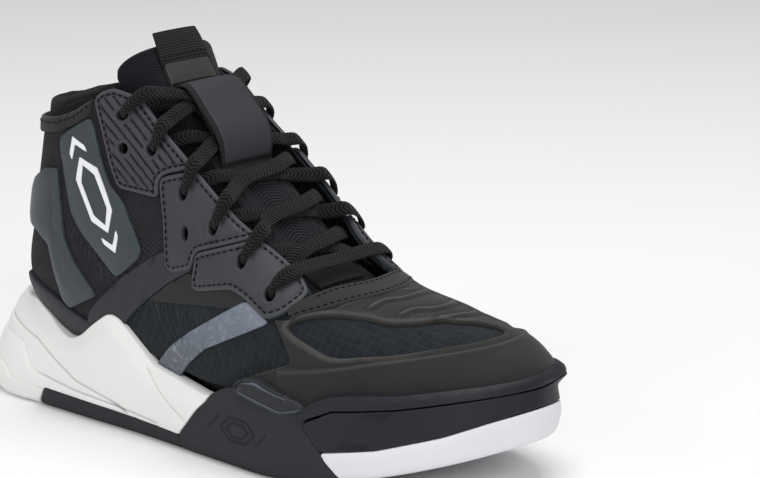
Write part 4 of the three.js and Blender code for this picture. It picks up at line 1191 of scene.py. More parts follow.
def side_panel(name, outline, side, under, over, relief=None, radius=2.2, holes=(), hole_radius=2.3,
               stitch=None, **rest):
    """A panel drawn in side view, and its stitching `stitch` mm inside the edge."""
    tv = on_side(rounded(outline, radius), side)
    flat = FRONT.flat(tv)
    loops = [flat] + hole_loops(FRONT, [(t, side * v) for t, v in holes], hole_radius)
    made = panel(name, FRONT, loops, under, over, relief, **rest)
    if stitch:
        line = turned(divided(flat, 1.5), True)
        row = inward(FRONT, line, stitch)
        stitches(f"{name}_stitching", [row_on(FRONT, row, over + 0.02, True)])
    return made


def build_base(sizes):
    """Inner fabrics: two quarters of coarse weave and one ripstop mesh over the forefoot."""
    r = 2.7
    for side, tag in SIDES:
        line = UPPER_EDGE + FABRIC_SEAM[1:] + [(-75, 27), (-100, 33), (-114, 38)]
        loop = BACK.flat(half_heel_loop(line, 131, 40, side, 0.0))
        holes = hole_loops(BACK, [(t, side * v + (2 if side < 0 else 0)) for t, v in
                                  (EYELETS[3], EYELETS[4], EYELETS[5], SPARE_HOLES[0], SPARE_HOLES[1])], r)
        panel(f"quarter_fabric_{tag}", BACK, [loop] + holes, -1.4, 0.0,
              lambda q: 0.25 * np.sin(q.p[:, 0] / 9) * np.sin(q.p[:, 2] / 13), 2.4, 0.6,
              finish="ballistic", slot="ballistic_fabric", stands_for=f"quarter_{tag}")
    seam = [(a + 0.4, b) for a, b in FABRIC_SEAM]
    foot = np.array([(4.6, 0.6), (5.6, 0.62), (6.6, 0.64)])[::-1]
    out_edge = on_side(divided(np.array(FRONT_EDGE), 2.5, False), -1, 0)
    throat = on_plan(divided(np.array(THROAT_REAR[1:-1]), 2.5, False), 0)
    in_edge = on_side(divided(np.array(FRONT_EDGE), 2.5, False), 1, 0)
    sides = [on_side(divided(np.array(seam), 2.5, False), s, 0) for s in (-1, 1)]
    toe = np.array(TOE_FOOT)
    lower = np.vstack([foot * [1, 1], toe])
    loop = np.vstack([out_edge, throat, in_edge[::-1], sides[1][1:], lower, (toe * [1, -1])[::-1][1:],
                      (foot * [1, -1])[::-1], sides[0][::-1][:-1]])
    holes = hole_loops(FRONT, [(t, s * v) for t, v in EYELETS[:3] for s in (-1, 1)], r)
    creases = [FRONT.flat(np.stack([np.linspace(3.2, 6.3, 30), s * (0.36 + 0.045 * k + 0.02 * np.sin(
        np.linspace(0, 3, 30)))], 1)) for k in range(5) for s in (-1, 1)]
    panel("vamp_ripstop", FRONT, [FRONT.flat(loop)] + holes, -1.4, 0.0,
          lambda q: 0.35 * bell(distance_to(np.stack([q.a, q.b], 1), creases, False), 0.5), 2.0, 0.6,
          finish="mesh", slot="mesh_fabric", stands_for="vamp_mesh")


PANELS = {
    "ribbed": [(-65.5, 146), (-62, 149.5), (-56, 152), (-42, 149), (-25, 134), (-9, 122.4), (-23, 118.4),
               (-26.8, 115.2), (-25.8, 107.4), (-50, 108.5), (-55, 118), (-60, 133)],
    "rear": [(-26, 115), (-23, 117.4), (-8, 121.4), (15, 104), (26, 96.6), (-1, 88), (-3, 80),
             (-16, 76), (-19.4, 78), (-22, 99)],
    "front": [(-0.6, 87.6), (26, 96), (46, 82), (54, 75.5), (50, 69), (43, 66), (31, 73), (23, 76),
              (1, 71), (-2, 73)],
    "strap": [(-70, 50), (-51, 66.6), (-34, 77.8), (-21, 85.3), (-13, 84), (-3, 80), (-3.4, 79.4), (-19, 71),
              (-33, 61), (-47, 48), (-46, 36), (-60, 28), (-78, 34)],
    "film": [(-4, 79), (-18.6, 70.6), (-32.4, 60.8), (-10, 63.4), (12, 66.5), (20, 67.4), (28, 69.4),
             (32, 73.5), (24, 77.5), (0, 74)],
    "stripe": [(43.2, 66.2), (31.5, 72.6), (27.8, 70.5), (13, 62), (-6, 51), (-17, 43), (-27, 33), (-31, 24),
               (-16, 20), (-12, 30), (-3, 39), (7, 47), (31, 58), (44.6, 65)],
}
ANKLE_PLATE = {
    -1: [(-86, 127), (-67, 138), (-64, 132), (-59.6, 118), (-54.8, 108.6), (-48, 104), (-36, 83), (-37, 79),
         (-52, 67.6), (-74, 85), (-80, 93), (-83, 106)],
    1: [(-86, 127), (-67, 138), (-64, 132), (-59.6, 118), (-54.8, 108.6), (-48, 104), (-27, 90), (-26, 85),
        (-42, 73.6), (-60, 76), (-78, 93), (-83, 106)],
}


def build_side_panels(sizes):
    """Leather facings, moulded straps, film, reflective stripe and ankle plates, both sides."""
    pitch, deep = sizes.rib_pitch * 1000, sizes.rib_depth * 1000
    hole = sizes.eyelet_radius * 1000

    def facing(q):
        """A padded field inside the stitched border, with a raised lip round each eyelet."""
        return (0.45 * smooth((q.edge - 2.9) / 1.6) - 0.28 * bell(q.edge - 2.35, 0.5)
                + 0.35 * bell(q.hole - 1.1, 0.7) - 0.3 * bell(q.hole - 2.6, 0.9))

    def ribs(q):
        """Raised ribs parallel to the throat, each with a rounded top between narrow grooves."""
        along = (q.p[:, 0] + 56) * 0.64 + (q.p[:, 2] - 150) * 0.768
        fan = 1 + 0.05 * (q.p[:, 2] - 128) / 20
        wave = np.abs(((along / fan) / pitch + 0.2) % 1 - 0.5) * 2
        field = smooth((q.edge - 2.9) / 0.6) * smooth((q.hole - 1.6) / 0.7)
        return (0.35 * field - deep * field * smooth((wave - 0.56) / 0.24)
                - 0.3 * bell(q.edge - 2.35, 0.5) + 0.3 * bell(q.hole - 1.0, 0.7))

    for side, tag in SIDES:
        side_panel(f"collar_ribs_{tag}", PANELS["ribbed"], side, 0.3, 2.0, ribs, 3.0,
                   [EYELETS[4], EYELETS[5], SPARE_HOLES[1]], hole, 2.35, spacing=0.62, rim=0.9,
                   finish="ribbed_leather", slot="ribbed_leather", stands_for=f"ribbed_collar_{tag}")
        side_panel(f"facing_rear_{tag}", PANELS["rear"], side, 0.3, 2.15, facing, 2.6,
                   [EYELETS[2], EYELETS[3], SPARE_HOLES[0]], hole, 2.35, spacing=1.1,
                   finish="leather", slot="leather", stands_for=f"eyestay_rear_{tag}")
        side_panel(f"facing_front_{tag}", PANELS["front"], side, 0.35, 2.45, facing, 2.6,
                   [EYELETS[0], EYELETS[1]], hole, 2.35, spacing=1.1,
                   finish="leather", slot="leather", stands_for=f"eyestay_front_{tag}")
        side_panel(f"midfoot_strap_{tag}", PANELS["strap"], side, 0.2, 1.5,
                   lambda q: -0.3 * bell(q.edge - 3.2, 0.5), 3.0, spacing=1.8, rim=0.8,
                   finish="strap", slot="charcoal_rubber", stands_for=f"side_strap_{tag}")
        side_panel(f"midfoot_film_{tag}", PANELS["film"], side, 0.05, 0.75, None, 3.0, spacing=1.8, rim=0.35,
                   finish="film", slot="film", stands_for=f"side_film_{tag}")
        side_panel(f"bright_stripe_{tag}", PANELS["stripe"], side, 0.1, 1.05, None, 1.6, spacing=1.6, rim=0.4,
                   finish="reflective", slot="reflective", stands_for=f"reflective_stripe_{tag}")
        side_panel(f"ankle_plate_{tag}", ANKLE_PLATE[side], side, 0.3, 2.3,
                   lambda q: 0.55 * smooth(q.edge / 7) - 0.2 * bell(q.edge - 1.3, 0.6), 2.6, spacing=1.5,
                   rim=1.2, finish="tpu", slot="tpu", stands_for=f"ankle_panel_{tag}")
    build_graphic()


def build_graphic():
    """A plain painted emblem on the outer ankle plate: a long open hexagon between two chevrons."""
    long_way, wide_way = np.array([0.47, -0.883]), np.array([0.883, 0.47])
    centre = np.array([-62.5, 103.0])
    shape = np.array([(17, 0), (9, 7.2), (-11, 7.2), (-19, 0), (-11, -7.2), (9, -7.2)], float)
    spot = lambda rows: FRONT.flat(on_side(centre + rows @ np.array([long_way, wide_way])))
    step = lambda rows: divided(rows, 1.2)
    loops = [spot(step(shape)), spot(step(shape * [0.8, 0.66]))]
    raised = lambda q: 3.35 + 0 * q.edge
    panel("emblem_hexagon", FRONT, loops, 2.0, raised, None, 0.8, 0.2, finish="paint", slot="tpu")
    for k, x in enumerate((21.5, -23.5)):
        turn = 1 if x > 0 else -1
        v = np.array([(5, 0), (-1, 6.4), (-4, 6.4), (1.6, 0), (-4, -6.4), (-1, -6.4)], float) * [turn, 0.8]
        panel(f"emblem_chevron_{k}", FRONT, [spot(step(v + [x, 0]))], 2.0, raised, None, 0.8, 0.2,
              finish="paint", slot="tpu")


def build_heel(sizes):
    """Heel fin, rubber rand and the collar's edge tape, each one piece round the heel."""
    fin = [(-116, 101), (-106, 106), (-97, 111), (-88, 112), (-86, 94), (-84.6, 80), (-78.6, 70), (-65, 57),
           (-84, 47.6), (-89, 51), (-93, 64), (-95.5, 76), (-104, 81), (-118, 83)]
    loop = BACK.flat(heel_loop(fin, 100, 84))

    def both_sides(line):
        return [BACK.flat(on_side(line, s) + [0, 2 if s < 0 else 0]) for s in (-1, 1)]

    slots = both_sides([(-91.5, 101), (-91.2, 93), (-89.6, 83)])
    ridge = both_sides([(-92, 78), (-90, 66), (-80, 55)])

    def fin_relief(q):
        chart = np.stack([q.a, q.b], 1)
        return (0.6 * smooth(q.edge / 5) - 1.0 * bell(distance_to(chart, slots, False), 1.1)
                + 0.3 * bell(distance_to(chart, ridge, False), 2.5))

    panel("heel_fin_plate", BACK, [loop], 0.3, 2.2, fin_relief, 1.5, 1.1, finish="tpu", slot="tpu",
          stands_for="heel_fin")
    rand = [(-120, 57.6), (-111, 55.2), (-93, 50.4), (-84.4, 47.2), (-72, 43.4), (-66, 41), (-62, 30),
            (-80, 28), (-100, 32), (-116, 38)]
    loop = BACK.flat(heel_loop(rand, 59.5, 40))
    panel("heel_rand_rubber", BACK, [loop], 0.25, 2.0, lambda q: 0.35 * smooth(q.edge / 4), 1.7, 0.9,
          finish="strap", slot="charcoal_rubber", stands_for="heel_rand")
    tape = [(-113, 131.8), (-100, 133.4), (-88, 135.4), (-76, 139.8), (-66, 146.2), (-67.5, 138.6),
            (-76, 133.8), (-88, 128.6), (-104, 125.6), (-114, 125)]
    loop = BACK.flat(heel_loop(tape, 131.4, 125))
    panel("collar_edge_tape", BACK, [loop], 0.2, 1.9, lambda q: 0.25 * smooth(q.edge / 3), 1.5, 0.9,
          finish="nubuck", slot="webbing", stands_for="collar_binding")
    line = divided(np.array([(-112, 129.6), (-88, 132.6), (-76, 137.2), (-67.6, 143)]), 2, False)
    stitches("collar_edge_stitching", [row_on(BACK, row, 2.15) for row in both_sides(line)])


def build_toe(sizes):
    """The moulded toe cap with its two mesh windows and waves, and the band over the throat."""
    sides = {}
    for side, _ in SIDES:
        line = [(47, 66.5), (55.5, 57), (60, 50.5), (44, 44), (29, 37.5), (24, 32), (24, 26)]
        sides[side] = on_side(rounded(line, 2.0, False), side)
    front = on_plan(flow(THROAT_FRONT[1:-1], 2.0) + [0.5, 0])
    toe = np.array(TOE_FOOT)
    loop = np.vstack([sides[-1][::-1], front, sides[1], toe, (toe * [1, -1])[::-1][1:]])
    window = np.array([(3.27, -0.315), (2.9, -0.335), (2.58, -0.352), (2.28, -0.325), (2.01, -0.295),
                       (1.71, -0.245), (1.46, -0.175), (1.28, -0.09), (1.22, 0.02), (1.30, 0.075),
                       (1.45, 0.055),
                       (1.7, -0.01), (1.88, -0.05), (1.99, -0.105), (2.23, -0.155), (2.5, -0.165),
                       (2.83, -0.195),
                       (3.1, -0.25)])
    inner = np.array([(3.27, 0.3), (2.9, 0.33), (2.58, 0.35), (2.28, 0.325), (2.01, 0.295), (1.75, 0.25),
                      (1.66, 0.18), (1.95, 0.165), (2.2, 0.175), (2.5, 0.18), (2.83, 0.19), (3.1, 0.23)])
    flat = FRONT.flat
    windows = [divided(flow_flat(flat(w)), 1.6) for w in (window, inner)]
    ring = flat(np.array([(3.23, -0.455), (2.74, -0.415), (2.26, -0.365), (1.59, -0.272), (1.22, -0.17),
                          (1.06, 0.0), (1.22, 0.17), (1.59, 0.272), (2.26, 0.365), (2.74, 0.415),
                          (3.23, 0.455)]))
    ring = divided(flow_flat(ring, False), 1.5, False)
    crest = flat(np.array([(2.86, -0.15), (2.78, -0.09), (2.74, -0.01), (2.69, 0.05), (2.7, 0.12)]))
    crest = divided(flow_flat(crest, False), 1.5, False)
    waves = [divided(flow_flat(flat(np.array(w)), False), 1.5, False) for w in (
        [(2.6, -0.10), (2.6, -0.045), (2.52, 0.0), (2.56, 0.07), (2.62, 0.12)],
        [(2.25, -0.085), (2.24, -0.04), (2.12, 0.01), (2.16, 0.08), (2.26, 0.13)],
        [(1.9, -0.03), (1.86, 0.02), (1.84, 0.07), (1.9, 0.12)])]

    def under_ring(q):
        """Distance below the lower ridge, negative over it."""
        d = distance_to(np.stack([q.a, q.b], 1), [ring], False)
        t, v = FRONT.tv(q.a, q.b)
        half = slice(len(ring) // 2 - 1, None, -1)
        ring_t, ring_v = FRONT.tv(*ring.T)
        limit = np.interp(np.abs(v), np.abs(ring_v[half]), ring_t[half])
        return np.where(t < limit, 1.0, -1.0) * d

    def cap(q):
        chart = np.stack([q.a, q.b], 1)
        below, t = under_ring(q), FRONT.tv(q.a, q.b)[0]
        wave = np.zeros(len(q.a))
        for line in waves:
            g = distance_to(chart, [line], False)
            wave = wave + 1.0 * bell(g, 1.1) - 0.5 * bell(g - 2.4, 1.0)
        lip = 0.9 * bell(q.hole - 1.6, 1.5)
        swell = 0.5 * bell(distance_to(chart, [crest], False), 1.4)
        border = 0.55 * bell(below - 0.6, 1.0) - 0.3 * bell(below + 1.5, 0.8)
        return wave + lip * smooth((t - 1.3) / 0.5) + swell + border

    panel("toe_cap_nubuck", FRONT, [flat(loop)] + windows, 0.2, 1.5, cap, 1.35, 0.8, hole_rim=1.3,
          guides=[ring, crest, *waves], bend=lambda q: 0.9 * smooth(under_ring(q) / 1.6 + 0.5),
          finish="nubuck", slot="nubuck", stands_for="toe_cap")

    rear = on_plan(flow(THROAT_REAR[1:-1], 2.0))
    band_front = on_plan(flow(THROAT_FRONT[1:-1], 2.0) + [2.0, 0])
    ends = [on_side([(49, 72.2), (48, 69.0)], s) for s in (-1, 1)]
    loop = np.vstack([ends[0], rear, ends[1][::-1], band_front[::-1]])
    panel("throat_band_nubuck", FRONT, [flat(loop)], 0.8, 2.5, lambda q: 0.2 * smooth(q.edge / 3), 1.4, 0.8,
          finish="nubuck", slot="nubuck", stands_for="throat_band")
    rows = [flat(on_plan(flow(THROAT_REAR[1:-1], 2.0) + [1.8, 0])),
            flat(on_plan(flow(THROAT_FRONT[1:-1], 2.0)))]
    stitches("throat_stitching", [row_on(FRONT, r, 2.62) for r in rows], 3.2)
    # Badge plate over the sole's edge on the outer side, left plain.
    plate = rounded([(30.5, 33.5), (38, 41.4), (44, 42), (70.5, 34.6), (69, 31), (57, 28)], 2.0)
    panel("side_badge", FRONT, [flat(on_side(plate, -1, 4.0))], 1.0, 5.3,
          lambda q: 0.3 * bell(q.edge - 0.9, 0.5) - 0.3 * smooth((q.edge - 1.3) / 0.5), 1.3, 0.7,
          finish="badge_plate", slot="charcoal_rubber")
    outline = turned(divided(flat(on_side(plate, -1, 4.0)), 1.0), True)
    panel("side_badge_line", FRONT, [inward(FRONT, outline, 1.3), inward(FRONT, outline, 1.75)], 3.0, 5.35,
          None, 0.6, 0.1, finish="badge_line", slot="charcoal_rubber")


def flow_flat(points, closed=True):
    """A smooth curve through points of a sheet."""
    return flow(points, 1.6, closed)


# ---- inside of the shoe ------------------------------------------------------------------------
def build_inside(sizes):
    """Collar padding, foot lining and insole."""
    pad = [(-108, 140), (-92, 142.5), (-76, 147.5), (-63, 152), (-56, 147), (-52, 132), (-50, 118),
           (-54, 107.5), (-80, 101.5), (-110, 96)]
    loop = BACK.flat(heel_loop(pad, 139, 95, -4.5))

    def plump(q):
        """Foam that swells between its edges, with two sewn channels across the ankle."""
        seam = np.minimum(np.abs(q.p[:, 2] - 112 - 0.1 * q.p[:, 0] - 8), 50)
        return 0.9 * smooth(q.edge / 9) - 1.0 * bell(seam, 1.6)

    pad_piece = panel("collar_pad", BACK, [loop], lambda q: -7.9 - plump(q) * 0.9 + 0 * q.edge,
                      lambda q: -1.75 + 0 * q.edge, None, 1.9, 2.9, round_under=True,
                      finish="lining", slot="lining_mesh", stands_for="collar_padding")

    edge = [(-112, 94), (-80, 100), (-50, 106), (-38, 110), (-22, 99), (-2, 84), (18, 71), (38, 60), (52, 61)]
    out = on_side(divided(np.array(edge, float), 3, False), -1, -5) + [0, 2]
    inn = on_side(divided(np.array(edge, float), 3, False), 1, -5)
    tip = [(2.9, 1.93), (2.2, 1.97), (1.2, 1.97), (0.9, 1.9), (0.75, 1.5), (0.7, 1.0), (0.75, 0.5),
           (0.9, 0.1), (1.2, 0.03), (2.2, 0.03), (2.9, 0.07)]
    loop = np.vstack([on_heel(92.5, -5), out, tip, inn[::-1]])
    panel("inner_lining", BACK, [BACK.flat(loop)], -5.6, -4.4, None, 3.2, 0.5, round_under=True,
          finish="lining", slot="lining_mesh", stands_for="foot_lining")

    t = np.linspace(7.15, 1.0, 28)
    edge_v = 0.2 - 0.04 * smooth((t - 6) / 1.2) - 0.05 * smooth((1.8 - t) / 0.9)
    loop = np.vstack([np.stack([t, 1 + edge_v], 1), np.stack([t[::-1], 1 - edge_v[::-1]], 1)])
    sole = panel("foam_insole", BACK, [BACK.flat(loop)], -10.9, -7.4, None, 2.6, 1.5, round_under=True,
                 body="insole", finish="insole", slot="guard_foam", stands_for="insole")


# ---- tongue ---------------------------------------------------------------------------------------
TONGUE_LIFT = np.array([[3.2, -6.6], [4.2, -9], [5.2, -11], [6.3, -12.5], [7.3, -12], [8.4, -9], [9.1, -5.5],
                        [9.7, -2], [10.6, 3], [12, 3]])
BAND_FROM, BAND_TO, BAND_STAND = 6.0, 8.75, 12.0
TAB_FOLD = (9.8, 10.25)      # the pull tab's fold begins and ends at these t


def tongue_top(t):
    """Offset of the tongue's face from the last."""
    return np.interp(t, *TONGUE_LIFT.T)


def soft_tongue_top(t):
    """The same eased over its knees."""
    return sum(np.interp(t + d, *TONGUE_LIFT.T) for d in (-0.3, -0.1, 0.1, 0.3)) / 4


TONGUE = LastSheet(0.0, soft_tongue_top)


def tongue_strip(t0, t1, half, taper=0.0):
    """A straight strip up the middle of the tongue as a loop."""
    t = np.linspace(t0, t1, 24)
    w = half * (1 - taper * (t - t0) / (t1 - t0))
    return TONGUE.flat(np.vstack([np.stack([t, -w], 1), np.stack([t[::-1], w[::-1]], 1)]))


def build_tongue(sizes):
    """Padded tongue with its tapes, lock band, badge, keeper and pull tab."""
    t = np.linspace(3.3, 9.9, 34)
    half = 0.325 - 0.03 * smooth((t - 6.5) / 2.5)
    crown_t = 9.9 + 0.5 * np.sqrt(np.maximum(1 - (np.linspace(-1, 1, 25)) ** 4, 0))
    crown = np.stack([crown_t, np.linspace(-1, 1, 25) * half[-1]], 1)
    loop = np.vstack([np.stack([t[::-1], half[::-1]], 1), np.stack([t, -half], 1), crown[1:-1]])
    loop = TONGUE.flat(loop)

    def quilt(q):
        """Crowned foam between its bound edges, with shallow creases across."""
        v = TONGUE.tv(q.a, q.b)[1]
        folds = 0.3 * np.sin(q.a * 0.23 + 6 * v) * np.sin(v * 9 + 1)
        return 0.25 * smooth(q.edge / 8) - 0.5 * bell(q.edge - 4.2, 0.6) + 0.3 * folds

    body = panel("tongue_pad", TONGUE, [loop], -4.5, lambda q: -0.1 + 0 * q.edge, quilt, 1.9, 2.25,
                 round_under=True, body="shoe", finish="tongue", slot="tongue_mesh", stands_for="tongue")
    panel("tongue_herringbone", TONGUE, [tongue_strip(4.3, 5.78, 0.1)], 0.35, 0.95, None, 1.6, 0.35,
          body="shoe", finish="herringbone", slot="webbing", stands_for="tongue_webbing")
    panel("tongue_tape_low", TONGUE, [tongue_strip(5.8, 6.35, 0.105)], 0.35, 1.2, None, 1.4, 0.35,
          body="shoe", finish="webbing", slot="webbing")
    lift = lambda q: band_lift(TONGUE.tv(q.a, q.b)[0])
    panel("lock_band_tape", TONGUE, [tongue_strip(6.0, 8.75, 0.066)], lambda q: lift(q) - 0.3,
          lambda q: lift(q) + 0.7, None, 1.2, 0.35, body="shoe", finish="webbing", slot="band_fabric",
          stands_for="lace_lock_band")
    panel("lock_band_face", TONGUE, [tongue_strip(6.06, 8.72, 0.050)], lambda q: lift(q) + 0.6,
          lambda q: lift(q) + 1.25, None, 1.2, 0.3, body="shoe", finish="band", slot="band_fabric")
    panel("tongue_tape_high", TONGUE, [tongue_strip(8.7, 9.85, 0.074)], 0.35, 1.0, None, 1.2, 0.35,
          body="shoe", finish="webbing", slot="webbing")
    panel("tongue_badge_plate", TONGUE, [tongue_strip(8.86, 9.6, 0.066)], 0.9, 1.75,
          lambda q: 0.25 * smooth(q.edge / 4), 1.0, 0.45, body="shoe", finish="badge", slot="tpu",
          stands_for="tongue_badge")
    panel("lace_keeper_tab", TONGUE, [tongue_strip(3.42, 3.8, 0.075)], 0.3, 1.5, None, 1.0, 0.35,
          body="shoe", finish="webbing", slot="webbing", stands_for="lace_keeper")
    rise = lambda q: 0.8 + 0.8 * np.maximum(TONGUE.tv(q.a, q.b)[0] - 10.6, 0)
    tab = panel("pull_tab_loop", TONGUE, [tongue_strip(9.55, 10.75, 0.078)], rise, lambda q: rise(q) + 1.7,
                None, 1.0, 0.8, round_under=True, body=None, finish="tab_webbing", slot="webbing",
                stands_for="tongue_pull_tab")
    fold = [(TONGUE.at(*TONGUE.flat([(t, 0.0)]).T)[0] + SHIFT) / 1000 for t in TAB_FOLD]
    tuple(fold[0])
    tuple(fold[1])
    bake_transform(tab)
    across = lambda t_row, w: TONGUE.flat(np.stack([np.full(9, t_row), np.linspace(-w, w, 9)], 1))
    stitches("tongue_stitching", [row_on(TONGUE, across(6.28, 0.058), 1.3),
                                  row_on(TONGUE, across(8.82, 0.062), 1.15)], 2.4, 1.7, 0.3, body="shoe")
    stitches("pull_tab_stitching", [row_on(TONGUE, across(9.63, 0.07), 2.55),
                                    row_on(TONGUE, across(9.76, 0.07), 2.55)], 2.4, 1.7, 0.3)


def band_lift(t):
    """Arch of the lock band over the tucked laces: stand (1 - |c|^4), c from -1 to 1 along it."""
    c = np.abs(2 * (t - BAND_FROM) / (BAND_TO - BAND_FROM) - 1)
    return 0.35 + BAND_STAND * (1 - np.minimum(c, 1) ** 4)


# ---- laces ------------------------------------------------------------------------------------------
EDGE = [(3.5, 0.155), (4.46, 0.165), (5.23, 0.205), (6.09, 0.235), (7.34, 0.242), (8.64, 0.254)]
OUT, UNDER, NARROW, LACE_WIDTH = 4.3, -4.4, 3.2, 7.0


def lace_strand(first, over_first):
    """Route of one half of the lace from the bottom bar to its tucked tail, as rows of
    t, v, offset from the last, width.  It crosses over at one pair and under at the next."""
    rows, side = [], first

    def eye(k, s, up):
        t, v = EYELETS[k]
        steps = [(t, s * (v - 0.035), UNDER, 4.6), (t, s * (v - 0.008), -2.3, NARROW),
                 (t, s * v, 0.2, NARROW), (t, s * (v - 0.008), 2.8, NARROW), (t, s * (v - 0.035), OUT, 4.8)]
        rows.extend(steps if up else steps[::-1])

    def cross(k, s, high):
        ta, tb = EYELETS[k][0], EYELETS[k + 1][0]
        tm = (ta + tb) / 2
        dip = float(tongue_top(tm)) + (5.7 if high else 3.1)
        rows.append((ta + 0.12 * (tb - ta), s * (EDGE[k][1] - 0.02), OUT, LACE_WIDTH))
        rows.append((tm - 0.28 * (tb - ta), s * (EDGE[k][1] - 0.06), (OUT + dip) / 2, LACE_WIDTH))
        rows.append((tm - 0.14 * (tb - ta), s * 0.075, dip + 0.8, LACE_WIDTH))
        rows.append((tm, 0, dip, LACE_WIDTH))
        rows.append((tm + 0.22 * (tb - ta), -s * 0.11, (dip + UNDER) / 2 - (0.2 if high else 1), LACE_WIDTH))
        rows.append((tb - 0.1 * (tb - ta), -s * EDGE[k + 1][1], UNDER - 0.1, LACE_WIDTH))

    eye(0, side, False)
    t0, t1 = EYELETS[0][0], EYELETS[1][0]
    tm = (t0 + t1) / 2
    rows.append((t0 + 0.1, side * 0.16, UNDER - 0.6, LACE_WIDTH))
    rows.append((tm, 0, float(tongue_top(tm)) + (5.7 if over_first else 3.1), LACE_WIDTH))
    rows.append((t1 - 0.1, -side * 0.17, UNDER - 0.4, LACE_WIDTH))
    side = -side
    for k in range(1, 6):
        eye(k, side, True)
        if k < 5:
            cross(k, side, (k % 2 == 0) == over_first)
            side = -side
    lift = lambda t: float(tongue_top(t)) + 8.1
    rows.append((8.62, side * 0.21, OUT, LACE_WIDTH))
    rows.append((8.42, side * 0.14, -0.5, LACE_WIDTH))
    rows.append((8.2, side * 0.08, lift(8.2), 6.0))
    rows.extend((t, side * 0.036, lift(t), 5.6) for t in (7.9, 7.5, 7.1, 6.7))
    return rows


def build_laces(sizes):
    """One flat braid: a tail, up one strand, over the bottom bar and up the other."""
    bar = [(3.74, -0.18, OUT + 0.5, LACE_WIDTH), (3.7, -0.09, 1.6, LACE_WIDTH), (3.68, 0, 0, LACE_WIDTH),
           (3.7, 0.09, 1.6, LACE_WIDTH), (3.74, 0.18, OUT + 0.5, LACE_WIDTH)]
    route = np.array(lace_strand(-1, True)[::-1] + bar + lace_strand(1, False))
    rows = catmull(route, np.linspace(0, len(route) - 1, (len(route) - 1) * 16 + 1))
    t, v, off, width = rows.T
    path = skin(t, v, off)
    s = np.r_[0, np.cumsum(np.linalg.norm(np.diff(path, axis=0), axis=1))]
    k = np.linspace(0, s[-1], int(s[-1] / 0.55))
    read = lambda a: np.stack([np.interp(k, s, a[:, c]) for c in range(a.shape[1])], 1)
    path_even = read(path)
    along_last = unit(last_point(t + 0.02, v) - last_point(t - 0.02, v))
    side = read(along_last)
    width = np.interp(k, s, width)
    kernel = np.hanning(9) / np.hanning(9).sum()
    ease = lambda a: np.stack([np.convolve(np.pad(a[:, c], 4, mode="edge"), kernel, "valid")
                               for c in range(a.shape[1])], 1)
    path_even = ease(ease(path_even))
    tangent = unit(np.gradient(path_even, axis=0))
    side = side - tangent * (side * tangent).sum(1)[:, None]
    side = unit(ease(ease(ease(unit(side)))))
    normals = np.cross(tangent, side)
    scale = sizes.lace_width * 1000 / LACE_WIDTH

    def strands(s_, a):
        """Strands as a ripple along the lace whose slant turns over at the flat's middle."""
        fold = np.abs(((a / TAU * 2 + 0.5) % 1) - 0.5) * 8
        return 0.07 * np.sin((s_ + fold * 0.9) * TAU / 1.9)

    tube("laces_braid", path_even, -normals, width * scale, sizes.lace_thickness * 1000, 16, strands,
         finish="lace", slot="lace_braid", stands_for="laces")


# ---- hidden pieces and stage -------------------------------------------------------------------
HIDDEN = {"strobel_board": "board", "heel_counter": "board", "toe_puff": "board", "shank": "steel",
          "ankle_protector_lateral": "guard", "ankle_protector_medial": "guard"}


def dress_hidden():
    """Finishes for the solid pieces that stay: board, counter, puff, guards and shank."""
    for node, finish in HIDDEN.items():
        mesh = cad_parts[node].data
        mesh.materials.clear()
        mesh.materials.append(FINISHES[finish])


def add_light(name, place, aim, size, power):
    """A soft area light looking at a point."""
    lamp = bpy.data.lights.new(name, "AREA")
    lamp.shape, lamp.size, lamp.size_y, lamp.energy = "RECTANGLE", size[0], size[1], power
    made = bpy.data.objects.new(name, lamp)
    made.location = place
    made.rotation_euler = (Vector(aim) - Vector(place)).to_track_quat("-Z", "Y").to_euler()
    bpy.context.scene.collection.objects.link(made)


# The camera in millimetres: its distance, its lens, and the point it aims at, across and up its view.
CAMERA_AWAY, CAMERA_LENS = 1500.0, 159.87
AIM_ALONG, AIM_UP = 51.6, 84.0


